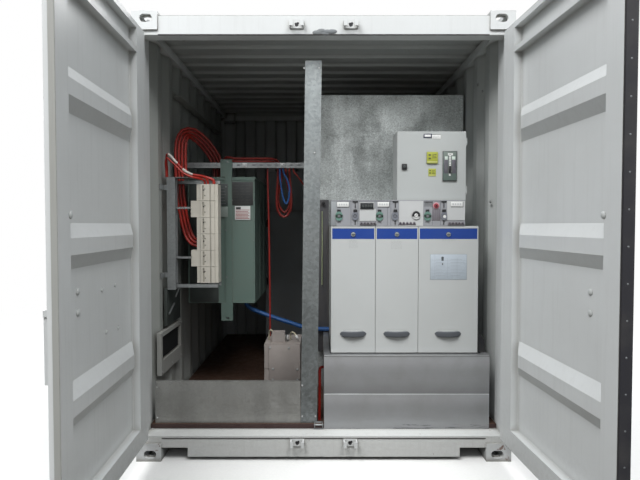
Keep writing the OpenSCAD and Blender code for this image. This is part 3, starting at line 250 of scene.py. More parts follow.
# Folded sheet and strut, hot-dip galvanised after forming. The zinc freezes into spangles 8 to 15 mm
# across that catch the light differently, and a chalky bloom dulls it in patches.
def zinc(name, colour, spangle=0.011, bloom=0.3, contrast=(0.92, 1.07), streak=None, fade=None):
    made, tree, place = blank_material(name)
    bend = add(tree, "ShaderNodeTexNoise", {"Vector": place, "Scale": 60.0, "Detail": 2.0})
    bent = add(tree, "ShaderNodeMix", {0: 0.02, 4: place, 5: bend.outputs["Color"]}, data_type="VECTOR")
    cell = add(tree, "ShaderNodeTexVoronoi", {"Vector": bent, "Scale": 1.0 / spangle})
    tone = add(tree, "ShaderNodeSeparateColor", {0: cell.outputs["Color"]})
    chalk = patches(tree, place, 3.0, 8.0, 0.6, 0.42, 0.68, 0.0, bloom)
    light = add(tree, "ShaderNodeMapRange", {0: tone, 3: contrast[0], 4: contrast[1]})
    if streak:
        # Painted reflection: soft upright bands are drawn lighter and darker, as a sheet that isn't quite
        # flat catches more or less light
        band = add(tree, "ShaderNodeMapping", {"Vector": place, "Scale": (1 / streak[0], 1 / streak[0], 0.9)})
        band = patches(tree, band, 1.0, 4.0, 0.6, 0.34, 0.66, streak[1], streak[2])
        light = add(tree, "ShaderNodeMath", {0: light, 1: band}, operation="MULTIPLY")
    if fade:
        # Painted reflection and shade: the metal is drawn lighter high up and darker towards the floor
        rise = add(tree, "ShaderNodeSeparateXYZ", {0: place})
        rise = add(tree, "ShaderNodeMapRange", {0: rise.outputs["Z"], 1: fade[0], 2: fade[1], 3: fade[2],
                                                4: 1.0}, interpolation_type="SMOOTHSTEP")
        light = add(tree, "ShaderNodeMath", {0: light, 1: rise}, operation="MULTIPLY")
    base = add(tree, "ShaderNodeMix", {0: chalk, 6: linear(colour), 7: linear("#9A9B99")}, data_type="RGBA")
    base = add(tree, "ShaderNodeMix", {0: 1.0, 6: base, 7: light}, data_type="RGBA", blend_type="MULTIPLY")
    # Grime and painted shade: darker in the corners, within 30 mm of the next part, by ambient occlusion
    corner_dirt_and_shade = add(tree, "ShaderNodeAmbientOcclusion", {"Distance": 0.03}, samples=6)
    corner_dirt_and_shade = add(tree, "ShaderNodeMapRange", {0: corner_dirt_and_shade.outputs["AO"], 1: 0.4, 2: 0.95, 3: 0.5, 4: 0.0})
    base = add(tree, "ShaderNodeMix", {0: corner_dirt_and_shade, 6: base, 7: linear("#4A4843")}, data_type="RGBA")
    rough = add(tree, "ShaderNodeMapRange", {0: tone.outputs[1], 3: 0.34, 4: 0.52})
    dull = add(tree, "ShaderNodeMath", {0: rough, 1: chalk}, operation="ADD")
    bump = add(tree, "ShaderNodeBump", {"Height": tone.outputs[2], "Strength": 0.12, "Distance": 0.0003})
    body = add(tree, "ShaderNodeBsdfPrincipled", {
        "Base Color": base, "Roughness": dull, "Normal": bump, "Metallic": 0.8})
    add(tree, "ShaderNodeOutputMaterial", {"Surface": body})
    return made


galvanised = zinc("galvanised_steel", "#A3A7A8")
post_zinc = zinc("galvanised_post", "#959B9C", spangle=0.016, contrast=(0.84, 1.14),
                 streak=(0.05, 0.94, 1.04), fade=(1.2, 2.6, 0.75))
panel_zinc = zinc("galvanised_panel", "#A3A3A0", contrast=(0.95, 1.04), streak=(0.16, 0.87, 1.11))
sheet_zinc = zinc("bright_galvanised_sheet", "#DDE3E2", spangle=0.007, contrast=(0.74, 1.16),
                  streak=(0.10, 0.84, 1.08))
finish_with(galvanised, "strut_beam", "fuse_board_frame")
finish_with(post_zinc, "centre_post")
finish_with(panel_zinc, "kick_panel")
finish_with(sheet_zinc, "partition_sheet")


# The plinth's hollow planks: extruded aluminium in its mill finish, dulled by handling. The die leaves
# hairlines along the plank, about 0.5 mm apart, and grit has scuffed it.
def mill(name, colour):
    made, tree, place = blank_material(name)
    drawn = add(tree, "ShaderNodeMapping", {"Vector": place, "Scale": (0.8, 300.0, 300.0)})
    line = add(tree, "ShaderNodeTexNoise", {"Vector": drawn, "Scale": 1.6, "Detail": 4.0, "Roughness": 0.7})
    cloud = add(tree, "ShaderNodeTexNoise", {"Vector": place, "Scale": 7.0, "Detail": 7.0, "Roughness": 0.6})
    light = add(tree, "ShaderNodeMapRange", {0: line, 1: 0.3, 2: 0.7, 3: 0.92, 4: 1.04})
    base = add(tree, "ShaderNodeMix", {0: 1.0, 6: linear(colour), 7: light}, data_type="RGBA",
               blend_type="MULTIPLY")
    # Painted highlight and shade: each plank's upper quarter is drawn lighter, where it catches more of the
    # sky, and its lowest part darker
    rise = add(tree, "ShaderNodeSeparateXYZ", {0: place}).outputs["Z"]
    part = add(tree, "ShaderNodeMapRange", {0: rise, 1: 0.153, 2: 0.4025, 3: 0.0, 4: 1.0}, clamp=False)
    part = add(tree, "ShaderNodeMath", {0: part}, operation="FRACT")
    painted_highlight = add(tree, "ShaderNodeMapRange", {0: part, 1: 0.55, 2: 0.96, 3: 0.95, 4: 1.22},
              interpolation_type="SMOOTHSTEP")
    painted_low_shade = add(tree, "ShaderNodeMapRange", {0: part, 1: 0.0, 2: 0.4, 3: 0.80, 4: 1.0},
                interpolation_type="SMOOTHSTEP")
    painted_highlight = add(tree, "ShaderNodeMath", {0: painted_highlight, 1: painted_low_shade}, operation="MULTIPLY")
    base = add(tree, "ShaderNodeMix", {0: 1.0, 6: base, 7: painted_highlight}, data_type="RGBA", blend_type="MULTIPLY")
    dust = add(tree, "ShaderNodeMapRange", {0: cloud, 1: 0.42, 2: 0.8, 3: 0.05, 4: 0.3})
    base = add(tree, "ShaderNodeMix", {0: dust, 6: base, 7: linear("#85837C")}, data_type="RGBA")
    # Black scrapes along the foot, from boots and dragged drums
    scrape = add(tree, "ShaderNodeMapping", {"Vector": place, "Scale": (7.0, 7.0, 60.0)})
    scrape = add(tree, "ShaderNodeTexNoise", {"Vector": scrape, "Scale": 1.0, "Detail": 6.0,
                                              "Roughness": 0.7})
    foot = add(tree, "ShaderNodeMapRange", {0: rise, 1: 0.163, 2: 0.215, 3: 0.20, 4: 0.0})
    scrape = add(tree, "ShaderNodeMath", {0: scrape, 1: foot}, operation="ADD")
    scrape = add(tree, "ShaderNodeMapRange", {0: scrape, 1: 0.70, 2: 0.78, 3: 0.0, 4: 0.6})
    base = add(tree, "ShaderNodeMix", {0: scrape, 6: base, 7: linear("#37363A")}, data_type="RGBA")
    rough = add(tree, "ShaderNodeMapRange", {0: line, 1: 0.3, 2: 0.7, 3: 0.40, 4: 0.56})
    bump = add(tree, "ShaderNodeBump", {"Height": line, "Strength": 0.15, "Distance": 0.0003})
    body = add(tree, "ShaderNodeBsdfPrincipled", {
        "Base Color": base, "Roughness": rough, "Normal": bump, "Metallic": 0.75})
    add(tree, "ShaderNodeOutputMaterial", {"Surface": body})
    return made


plank_aluminium = mill("mill_aluminium", "#B4B6B9")
finish_with(plank_aluminium, "plinth_planks", "plinth_frame")


# Moulded and coated parts of the switchgear: epoxy powder coat on folded steel, and moulded plastic. Both
# have a fine even grain and a thin layer of site dust, drawn thickest in the corners with painted shade
# there.
def coat(name, colour, grain=0.0009, rough=0.5, dust="#8C877C", toned=0.25, corners=0.5, depth=0.0003,
         depth_shade=None):
    made, tree, place = blank_material(name)
    cloud = patches(tree, place, 6.0, 7.0, 0.62, 0.42, 0.75, 0.0, toned)
    # Dust and painted shade in the corners: the dust colour within 25 mm of the next part, by ambient
    # occlusion
    corner_dirt_and_shade = add(tree, "ShaderNodeAmbientOcclusion", {"Distance": 0.025}, samples=6)
    corner_dirt_and_shade = add(tree, "ShaderNodeMapRange", {0: corner_dirt_and_shade.outputs["AO"], 1: 0.4, 2: 0.95, 3: corners, 4: 0.0})
    total = add(tree, "ShaderNodeMath", {0: cloud, 1: corner_dirt_and_shade}, operation="MAXIMUM")
    shade = add(tree, "ShaderNodeMix", {"Factor": total, 6: linear(colour), 7: linear(dust)},
                data_type="RGBA")
    if depth_shade:
        # Painted shade: what runs deeper in the room is drawn darker, towards near black
        back = add(tree, "ShaderNodeSeparateXYZ", {0: place}).outputs["Y"]
        back = add(tree, "ShaderNodeMapRange", {0: back, 1: depth_shade[0], 2: depth_shade[1], 3: 0.0, 4: depth_shade[2]})
        shade = add(tree, "ShaderNodeMix", {0: back, 6: shade, 7: linear("#241312")}, data_type="RGBA")
    skin = add(tree, "ShaderNodeTexNoise", {"Vector": place, "Scale": 1.0 / (3.0 * grain), "Detail": 2.0})
    gloss = add(tree, "ShaderNodeMapRange", {0: total, 1: 0.0, 2: 0.5, 3: rough, 4: 0.8})
    bump = add(tree, "ShaderNodeBump", {"Height": skin, "Strength": 0.3, "Distance": depth})
    body = add(tree, "ShaderNodeBsdfPrincipled", {
        "Base Color": shade, "Roughness": gloss, "Normal": bump, "IOR": 1.5})
    add(tree, "ShaderNodeOutputMaterial", {"Surface": body})
    return made


unit_coat = coat("unit_powder_coat", "#C2C5C4", dust="#A09F9A", toned=0.06)
control_coat = coat("control_box_powder_coat", "#B2B6B5", dust="#94938E", toned=0.06)
drive_coat = coat("drive_powder_coat", "#989A9F", dust="#84837F", toned=0.12)
facia_coat = coat("facia_satin_white", "#C4C6C6", rough=0.4, toned=0.08)
band_coat = coat("band_blue_film", "#183F90", rough=0.38, dust="#4C6390", toned=0.08)
escutcheon_abs = coat("escutcheon_abs", "#777B84", rough=0.45, grain=0.0006, toned=0.1)
duct_rubber = coat("duct_black_plastic", "#1D1D20", rough=0.45, dust="#4A4844", toned=0.3)
finish_with(unit_coat, "ring_main_tank", "cable_cover_left", "cable_cover_middle", "cable_cover_right")
finish_with(control_coat, "control_box_body", "control_box_door")
finish_with(drive_coat, "mechanism_panel")
finish_with(facia_coat, "facia_plates")
finish_with(band_coat, "cover_bands")
finish_with(escutcheon_abs, "shaft_escutcheons")
finish_with(duct_rubber, "cable_duct")


# The fuse board, the housings and the boxes behind them: hammered enamel, whose dimples break up every
# highlight, cream mouldings that have yellowed a little, and plain grey paint under a film of dust.
hammer_green = coat("hammered_green_enamel", "#687D75", grain=0.0022, rough=0.38, depth=0.0009,
                    dust="#77796F")
fuse_plastic = coat("fuse_moulding_cream", "#D9D4C8", grain=0.0005, dust="#8F887A", toned=0.22)
box_coat = coat("terminal_box_paint", "#A39B96", rough=0.55, dust="#857B74", toned=0.35)
cabinet_coat = coat("cabinet_grey_paint", "#888D90")
finish_with(hammer_green, "mounting_strap", "busbar_housings")
finish_with(fuse_plastic, "fuse_modules")
finish_with(box_coat, "terminal_box")
finish_with(cabinet_coat, "rear_cabinet")


# Cables and seals: silicone and PVC sheaths with a dull shine, and an EPDM door seal that has chalked. The
# red cables are drawn darker as painted shade where they run back into the room.
seal_rubber = coat("epdm_seal_rubber", "#24242A", rough=0.6, dust="#55534F", toned=0.4)
red_sheath = coat("red_cable_sheath", "#AE2518", rough=0.42, dust="#6E3028", toned=0.15, corners=0.35,
                  depth_shade=(-0.22, -0.09, 0.5))
blue_sheath = coat("blue_hose_sheath", "#134E8C", rough=0.38, dust="#2A4A70", toned=0.15, corners=0.35)
finish_with(seal_rubber, "right_door_seal")
finish_with(red_sheath, "red_cables")
finish_with(blue_sheath, "blue_cable")


# The floor: 28 mm keruing plywood, its faces sealed dark brown and scuffed by boots and cable drums. The
# bare front edge shows its plies, about 2 mm each.
floor_ply, tree, place = blank_material("keruing_plywood")
grain = add(tree, "ShaderNodeMapping", {"Vector": place, "Scale": (120.0, 4.0, 120.0)})
figure = add(tree, "ShaderNodeTexNoise", {"Vector": grain, "Scale": 1.0, "Detail": 6.0, "Roughness": 0.65})
split = add(tree, "ShaderNodeSeparateXYZ", {0: place})
plies = add(tree, "ShaderNodeMath", {0: split.outputs["Z"], 1: 2.0 * math.pi / 0.0042}, operation="MULTIPLY")
plies = add(tree, "ShaderNodeMath", {0: plies}, operation="SINE")
plies = add(tree, "ShaderNodeMapRange", {0: plies, 1: -1.0, 2: 1.0, 3: 0.55, 4: 1.1})
wood = add(tree, "ShaderNodeMix", {0: figure, 6: linear("#33251C"), 7: linear("#62483A")}, data_type="RGBA")
edge = add(tree, "ShaderNodeMix", {0: 1.0, 6: linear("#3E2A27"), 7: plies}, data_type="RGBA",
           blend_type="MULTIPLY")
facing = add(tree, "ShaderNodeSeparateXYZ", {0: add(tree, "ShaderNodeNewGeometry").outputs["Normal"]})
flat = add(tree, "ShaderNodeMath", {0: facing.outputs["Z"]}, operation="ABSOLUTE")
shade = add(tree, "ShaderNodeMix", {0: flat, 6: edge, 7: wood}, data_type="RGBA")
rough = patches(tree, place, 14.0, 8.0, 0.7, 0.35, 0.65, 0.45, 0.85)
bump = add(tree, "ShaderNodeBump", {"Height": figure, "Strength": 0.3, "Distance": 0.0008})
body = add(tree, "ShaderNodeBsdfPrincipled", {"Base Color": shade, "Roughness": rough, "Normal": bump})
add(tree, "ShaderNodeOutputMaterial", {"Surface": body})
finish_with(floor_ply, "plywood_floor")


# Bolts, rivets and screws: zinc-plated steel, turned or forged, each pulled down on the sheet that it
# holds. One tree puts a head on every marked place, square to the face and turned at random.
class Form:
    """Closed shapes in the container's frame, gathered into one mesh: of the main material if none is named.
    Plates and pegs lie on a face that looks to the doors, and are measured out of it."""
    def __init__(self, main, face=0.0):
        self.mesh = bmesh.new()
        self.materials = [main]
        self.face = face

    def keep(self, faces, material):
        if material and material not in self.materials:
            self.materials.append(material)
        for face in faces:
            face.material_index = self.materials.index(material) if material else 0

    def block(self, low, high, material=None, round_off=0.0):
        low, high = Vector(low), Vector(high)
        verts = bmesh.ops.create_cube(self.mesh, size=1.0)["verts"]
        for v in verts:
            v.co = Vector([(low[i] + high[i]) / 2 + v.co[i] * (high[i] - low[i]) for i in range(3)])
        if round_off:
            edges = list({e for v in verts for e in v.link_edges})
            verts = bmesh.ops.bevel(self.mesh, geom=edges, offset=round_off, segments=2, profile=0.5,
                                    affect="EDGES")["verts"]
        self.keep({f for v in verts for f in v.link_faces}, material)

    def plate(self, x0, x1, z0, z1, front, back, material=None, round_off=0.0):
        self.block((x0, self.face - front, z0), (x1, self.face - back, z1), material, round_off)

    def rod(self, start, end, radius, material=None, sides=20, end_radius=None, round_off=0.0):
        start, end = Vector(start), Vector(end)
        way = end - start
        turn = way.to_track_quat("Z", "Y").to_matrix().to_4x4()
        verts = bmesh.ops.create_cone(
            self.mesh, cap_ends=True, segments=sides, radius1=radius,
            radius2=radius if end_radius is None else end_radius, depth=way.length,
            matrix=Matrix.Translation((start + end) / 2) @ turn)["verts"]
        if round_off:
            rims = [e for e in {e for v in verts for e in v.link_edges}
                    if any(len(f.verts) > 4 for f in e.link_faces)]
            verts = bmesh.ops.bevel(self.mesh, geom=rims, offset=round_off, segments=2, profile=0.5,
                                    affect="EDGES")["verts"] + verts
        self.keep({f for v in verts if v.is_valid for f in v.link_faces}, material)

    def peg(self, x, z, back, front, radius, material=None, sides=20, round_off=0.0):
        self.rod((x, self.face - back, z), (x, self.face - front, z), radius, material, sides,
                 round_off=round_off)

    def prism(self, outline, depth, material=None):
        """An outline of (x, y, z) points, pushed along depth."""
        low = [self.mesh.verts.new(p) for p in outline]
        high = [self.mesh.verts.new(Vector(p) + Vector(depth)) for p in outline]
        faces = [self.mesh.faces.new(low), self.mesh.faces.new(high)]
        count = len(low)
        faces += [self.mesh.faces.new((low[i], low[(i + 1) % count], high[(i + 1) % count], high[i]))
                  for i in range(count)]
        bmesh.ops.recalc_face_normals(self.mesh, faces=faces)
        self.keep(faces, material)

    def tube(self, points, radius, material=None, sides=10):
        """A round bar or cable along points, closed at both ends."""
        points = [Vector(p) for p in points]
        side = None
        rings = []
        for i, p in enumerate(points):
            way = (points[min(i + 1, len(points) - 1)] - points[max(i - 1, 0)]).normalized()
            side = (way.orthogonal() if side is None else side - way * side.dot(way)).normalized()
            other = way.cross(side)
            r = radius[i] if isinstance(radius, (list, tuple)) else radius
            rings.append([self.mesh.verts.new(p + r * (math.cos(a) * side + math.sin(a) * other))
                          for a in [2 * math.pi * k / sides for k in range(sides)]])
        faces = [self.mesh.faces.new(list(reversed(rings[0]))), self.mesh.faces.new(rings[-1])]
        for a, b in zip(rings, rings[1:]):
            faces += [self.mesh.faces.new((a[k], a[(k + 1) % sides], b[(k + 1) % sides], b[k]))
                      for k in range(sides)]
        self.keep(faces, material)

    def piece(self, name, body="container", move=None):
        """The finished piece: in place, smooth but for its hard edges, riding on its body."""
        data = bpy.data.meshes.new(name)
        self.mesh.transform(Matrix.Translation(-MIDDLE) @ (move or Matrix.Identity(4)))
        bmesh.ops.recalc_face_normals(self.mesh, faces=self.mesh.faces)
        self.mesh.to_mesh(data)
        self.mesh.free()
        for material in self.materials:
            data.materials.append(material)
        data.shade_smooth()
        data.set_sharp_from_angle(angle=math.radians(32.0))
        obj = bpy.data.objects.new(name, data)
        bpy.context.scene.collection.objects.link(obj)
        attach(obj, body)


def fasten(name, head, material, places, way, scale=1.0, body="container"):
    """Puts head, which stands on Z = 0, on each place, facing the given way."""
    points = bpy.data.meshes.new(name + "_places")
    points.from_pydata([Vector(p) - MIDDLE for p in places], [], [])
    ways = points.attributes.new("way", "FLOAT_VECTOR", "POINT")
    ways.data.foreach_set("vector", list(way) * len(places))
    holder = bpy.data.objects.new(name + "_places", points)
    bpy.context.scene.collection.objects.link(holder)
    tree = bpy.data.node_groups.new(name, "GeometryNodeTree")
    for label, kind in (("Places", "Geometry"), ("Head", "Object"), ("Scale", "Float"), ("Seed", "Int"),
                        ("Finish", "Material")):
        tree.interface.new_socket(label, in_out="INPUT", socket_type="NodeSocket" + kind)
    tree.interface.new_socket("Heads", in_out="OUTPUT", socket_type="NodeSocketGeometry")
    given = add(tree, "NodeGroupInput").outputs
    shape = add(tree, "GeometryNodeObjectInfo", {"Object": given["Head"]})
    facing = add(tree, "GeometryNodeInputNamedAttribute", {"Name": "way"}, data_type="FLOAT_VECTOR")
    square = add(tree, "FunctionNodeAlignRotationToVector", {"Vector": facing}, axis="Z")
    angle = add(tree, "FunctionNodeRandomValue", {2: 0.0, 3: 6.28, "Seed": given["Seed"]}, data_type="FLOAT")
    spin = add(tree, "FunctionNodeAxisAngleToRotation", {"Axis": (0, 0, 1), "Angle": angle.outputs[1]})
    turn = add(tree, "FunctionNodeRotateRotation", {0: square, 1: spin}, rotation_space="LOCAL")
    heads = add(tree, "GeometryNodeInstanceOnPoints", {
        "Points": given["Places"], "Instance": shape.outputs["Geometry"], "Rotation": turn,
        "Scale": given["Scale"]})
    solid = add(tree, "GeometryNodeRealizeInstances", {0: heads})
    coated = add(tree, "GeometryNodeSetMaterial", {0: solid, "Material": given["Finish"]})
    add(tree, "NodeGroupOutput", {0: coated})
    maker = holder.modifiers.new("fasten", "NODES")
    maker.node_group = tree
    values = {"Head": head, "Scale": scale, "Seed": 7, "Finish": material}
    for item in tree.interface.items_tree:
        if item.in_out == "INPUT" and item.name in values:
            maker[item.identifier] = values[item.name]
    made = bpy.data.meshes.new_from_object(holder.evaluated_get(bpy.context.evaluated_depsgraph_get()))
    holder.modifiers.remove(maker)
    bpy.data.objects.remove(holder)
    made.name = name
    obj = bpy.data.objects.new(name, made)
    bpy.context.scene.collection.objects.link(obj)
    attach(obj, body)


def head_of(name, parts, material):
    """A head's shape, made once at the origin: parts are (radius, low, high, sides, top radius)."""
    form = Form(material)
    for radius, low, high, sides, top in parts:
        form.rod((0, 0, low), (0, 0, high), radius, sides=sides, end_radius=top)
    data = bpy.data.meshes.new(name)
    form.mesh.to_mesh(data)
    form.mesh.free()
    data.materials.append(material)
    data.shade_smooth()
    data.set_sharp_from_angle(angle=math.radians(32.0))
    return bpy.data.objects.new(name, data)


plated = zinc("plated_fastener_steel", "#C6C8C8", spangle=0.004, bloom=0.25)
# Overpainted heads: grime with painted shade darkens them round their foot and edges
painted_head = paint("overpainted_fastener", "#C9CCCB", grime_and_shade="#4A4742", runs=0.2, corners=0.95)
hex_bolt = head_of("hex_bolt", [(0.0125, -0.0006, 0.0016, 24, None), (0.0095, 0.0016, 0.0078, 6, None),
                                (0.0078, 0.0078, 0.0088, 12, 0.005)], plated)
dome_rivet = head_of("dome_rivet", [(0.006, -0.0004, 0.0012, 14, None), (0.006, 0.0012, 0.0026, 14, 0.0048),
                                    (0.0048, 0.0026, 0.0036, 14, 0.002)], plated)
pan_screw = head_of("pan_screw", [(0.0055, -0.0004, 0.0016, 16, None), (0.0055, 0.0016, 0.0030, 16, 0.0042),
                                  (0.0014, 0.0030, 0.00302, 4, None)], plated)
coach_bolt = head_of("coach_bolt", [(0.014, -0.0006, 0.002, 20, 0.013), (0.013, 0.002, 0.0052, 20, 0.009),
                                    (0.009, 0.0052, 0.0072, 20, 0.003)], painted_head)


# The doors' bolts: round-headed bolts through each leaf hold the handle's catch and the rod guides
# outside. They were sprayed over with the leaf. A door's own frame: u along the leaf, v inwards.
PIN = Vector((1.202, -0.005, 0.0))
LEFT_OPEN = math.radians(-88.0)
RIGHT_OPEN = math.radians(93.0)
MIRROR = Matrix.Scale(-1, 4, (1, 0, 0))
swing = {"left": Matrix.Translation((-PIN.x, PIN.y, 0)) @ Matrix.Rotation(LEFT_OPEN, 4, "Z"),
         "right": Matrix.Translation(PIN) @ Matrix.Rotation(RIGHT_OPEN, 4, "Z") @ MIRROR}
LEAF_START = 0.04
PANEL_FACE = 0.0320
STILE_FACE = 0.078
STILE_AT = 1.02
big = [(1.04, 1.58), (0.88, 1.231), (0.88, 1.134)]
small = [(0.60, 1.204), (0.42, 1.208), (0.55, 0.975), (0.38, 0.962)]
for side, label, spots, scale in (
        ("left", "_door_bolts", big, 1.25), ("left", "_door_small_bolts", small, 0.9),
        ("right", "_door_bolts", big, 1.25)):
    move = swing[side]
    places = [move @ Vector((u + LEAF_START, PANEL_FACE if u < STILE_AT else STILE_FACE, z))
              for u, z in spots]
    fasten(side + label, coach_bolt, painted_head, places, move.to_3x3() @ Vector((0, 1, 0)), scale,
           body=side + "_door")


# The right leaf's free edge carries its rubber seal under a flat black strip, pop-riveted every 150 mm.
# The rivets' bare aluminium shows up light against the rubber.
dull_rivet = zinc("dull_rivet_aluminium", "#7D8285", spangle=0.004, bloom=0.2)
move = swing["right"]
outward = move.to_3x3() @ Vector((1, 0, 0))
fasten("right_seal_rivets", dome_rivet, dull_rivet,
       [move @ Vector((1.2002, 0.05, 0.25 + 0.15 * i)) for i in range(17)], outward, 0.85, body="right_door")


# Weld beads: MIG fillets laid after the members were tacked, about 7 mm wide with a ripple every 5 mm,
# then painted with the shell.
def bead(form, start, end, radius=0.0042, ripple=0.0055):
    start, end = Vector(start), Vector(end)
    count = max(2, int((end - start).length / (ripple / 2)))
    count -= count % 2
    way = end - start
    points = [start + way * i / count for i in range(count + 1)]
    swell = [radius * (1.0 if i % 2 else 0.74) for i in range(count + 1)]
    form.tube(points, swell, sides=6)


CASTING_EDGES = (0.118, 2.778)
RAIL_EDGES = (0.165, 2.809)
welds = Form(white_paint)
for x in (-1, 1):
    for z in CASTING_EDGES:
        bead(welds, (x * 1.213, 0.022, z), (x * 1.213, 0.178, z))
        bead(welds, (x * 1.168, 0.020, z), (x * 1.212, 0.020, z))
        bead(welds, (x * 1.213, 2.815, z), (x * 1.213, 2.985, z))
        bead(welds, (x * 1.060, 2.986, z), (x * 1.211, 2.986, z))
    bead(welds, (x * 1.057, 0.011, 2.79), (x * 1.057, 0.011, 2.862))
    bead(welds, (x * 1.057, 0.011, 0.09), (x * 1.057, 0.011, 0.117))
    for z in RAIL_EDGES:
        bead(welds, (x * 1.2085, 0.18, z), (x * 1.2085, 2.81, z), ripple=0.009)
for z in RAIL_EDGES:
    bead(welds, (-1.05, 2.9855, z), (1.05, 2.9855, z), ripple=0.009)
welds.piece("shell_welds")


# The doors' welds: the pressed panel is seam-welded into the leaf's frame all round, and each hinge blade is
# laid on with two short beads, all painted over.
HINGES = 4
HINGE_INSET = 0.160
LEAF_LOW = 0.170
LEAF_H = 2.573
for side in ("left", "right"):
    welds = Form(white_paint)
    for u in (0.1905, 1.0815):
        bead(welds, (u, 0.0325, 0.29), (u, 0.0325, 2.565), radius=0.0035, ripple=0.008)
    for z in (0.2865, 2.5695):
        bead(welds, (0.195, 0.0325, z), (1.078, 0.0325, z), radius=0.0035, ripple=0.008)
    for i in range(HINGES):
        z = LEAF_LOW + HINGE_INSET + i * (LEAF_H - 2 * HINGE_INSET) / (HINGES - 1)
        for dz in (-0.030, 0.030):
            bead(welds, (0.048, 0.0275, z + dz), (0.149, 0.0275, z + dz), radius=0.0035)
    welds.piece(side + "_door_welds", body=side + "_door", move=swing[side])


# Black grease from the rods' cams, which has collected in the middle of each keeper. It is thick enough
# there to stand on the paint as three overlapping blobs.
grease = Form(seal_rubber)
for x in (-0.172, 0.172):
    for z in (0.1225, 2.8100):
        for dx, dz, r in ((0.0, -0.003, 0.012), (0.007, 0.006, 0.008), (-0.006, 0.004, 0.007)):
            grease.rod((x + dx, 0.0042, z + dz), (x + dx, 0.0026, z + dz), r, sides=18, end_radius=r * 0.8)
grease.piece("keeper_grease")


# Painted highlight: a narrow strip along each plank's square upper edge, drawn in a lighter aluminium where
# the edge catches the light.
edge_highlight = mill("aluminium_edge_highlight", "#DDE0E2")
highlight_strips = Form(edge_highlight)
for z in (0.3990, 0.6610):
    highlight_strips.block((0.0040, 0.1268, z - 0.0035), (1.1140, 0.1290, z + 0.0030), edge_highlight, 0.0008)
highlight_strips.piece("plank_edges")


# The roof's corrugations are closed at both ends by small steel plates, welded under every crest and
# painted with the roof.
FIRST_WAVE = 0.0810
WAVE = 0.209
caps = Form(roof_paint)
for i in range(1, 13):
    y = FIRST_WAVE + WAVE * i
    for x in (-1.2035, 1.1985):
        caps.prism([(x, y, 2.868), (x, y + 0.0135, 2.8885), (x, y + 0.1045, 2.8885), (x, y + 0.118, 2.868)],
                   (0.005, 0, 0))
caps.piece("roof_end_caps")


# The sill's joint and the header's lower edge: a black mastic line along the sill's face, and under the
# header a black strip as painted shadow of its lip, with a smear of grey sealant where someone has patched
# it.
mastic = coat("black_mastic", "#2C2A2E", rough=0.7, dust="#5A5650", toned=0.5)
sealant = coat("grey_sealant", "#70767A", rough=0.55, grain=0.003, depth=0.001)
strips = Form(mastic)
strips.block((-1.055, 0.0085, 0.1470), (1.055, 0.0135, 0.1510))
# Painted shadow: a black strip under the header's lip
strips.block((-1.055, 0.0085, 2.7465), (1.055, 0.020, 2.7505))
strips.piece("joint_mastic")
smear = Form(sealant)
rng = random.Random(5)
for i in range(9):
    x, z, r = 0.008 + rng.uniform(-0.05, 0.05), 2.762 + rng.uniform(-0.012, 0.012), rng.uniform(0.010, 0.022)
    ball = bmesh.ops.create_uvsphere(smear.mesh, u_segments=14, v_segments=8, radius=r)["verts"]
    for v in ball:
        v.co = Vector((x + v.co.x * 1.6, 0.0115 + v.co.y * 0.22, z + v.co.z * 0.7))
smear.piece("header_sealant")


# The drives' facia: engraved and printed plates are left bare, with white label cards, a dark display in
# its frame, padlock slides over the oval shafts, lug covers along the foot and one red button.
black_abs = coat("black_abs", "#1B1B1E", rough=0.42, grain=0.0005, dust="#47464A", toned=0.15)
card = coat("white_card", "#E4E5E3", rough=0.5, grain=0.0004, toned=0.12)
red_button = coat("red_button", "#8E2334", rough=0.35, toned=0.1)
pink_halo = coat("button_collar", "#C9939B", rough=0.5, toned=0.1)
display = coat("display_glass", "#23272A", rough=0.12, toned=0.05, corners=0.1)
segment = coat("display_segments", "#5C6360", rough=0.3, toned=0.05)
grey_abs = coat("grey_abs", "#8C9094", rough=0.45, grain=0.0005)
plum_abs = coat("lug_cover_abs", "#6C6771", rough=0.45, grain=0.0005)
faint_card = coat("card_print", "#C3C5C6", rough=0.5, toned=0.1)
pale_abs = coat("pale_grey_abs", "#93979A", rough=0.42, grain=0.0005)
teal_abs = coat("shaft_collar_teal", "#64897E", rough=0.42, grain=0.0005, toned=0.12)
deep_teal = coat("shaft_socket", "#46594F", rough=0.5, grain=0.0005, toned=0.12)
FACE = 0.175
# Plates start 2 mm inside the sheet, so that no gap shows behind them
SUNK = -0.002
facia = Form(black_abs, FACE)
facia.plate(0.051, 0.087, 1.532, 1.698, 0.0012, SUNK, pale_abs, 0.0006)
facia.plate(0.678, 0.735, 1.690, 1.694, 0.0010, SUNK)
for i in range(6):
    facia.plate(0.679, 0.734, 1.664 + 0.0045 * i, 1.6655 + 0.0045 * i, 0.0012, -0.001, grey_abs)
for x0, x1, z0, z1, front in (
        (0.0908, 0.1705, 1.6600, 1.6925, 0.0022), (0.3637, 0.4427, 1.6610, 1.6925, 0.0022),
        (0.8574, 0.9391, 1.6620, 1.6948, 0.0047)):
    facia.plate(x0, x1, z0, z1, front, SUNK, card, 0.0010)
    # Painted shadow: a black plate just below and to the right of each card
    facia.plate(x0 + 0.002, x1 + 0.0025, z0 - 0.0035, z1 - 0.002, front - 0.0008, SUNK)
    for i in range(4):
        x = x0 + (x1 - x0) * (0.14 + 0.2 * i)
        facia.plate(x, x + 0.010, z0 + 0.010, z0 + 0.022, front + 0.0002, front - 0.0004, faint_card)
facia.plate(0.2468, 0.3374, 1.6460, 1.6864, 0.0075, 0.0040, display, 0.001)
for i in range(4):
    x = 0.262 + 0.0185 * i
    for z in (1.6590, 1.6662, 1.6734):
        facia.plate(x, x + 0.009, z - 0.0007, z + 0.0007, 0.0081, 0.0074, segment)
    for dx in (0.0, 0.009):
        facia.plate(x + dx - 0.0007, x + dx + 0.0007, 1.660, 1.673, 0.0081, 0.0074, segment)
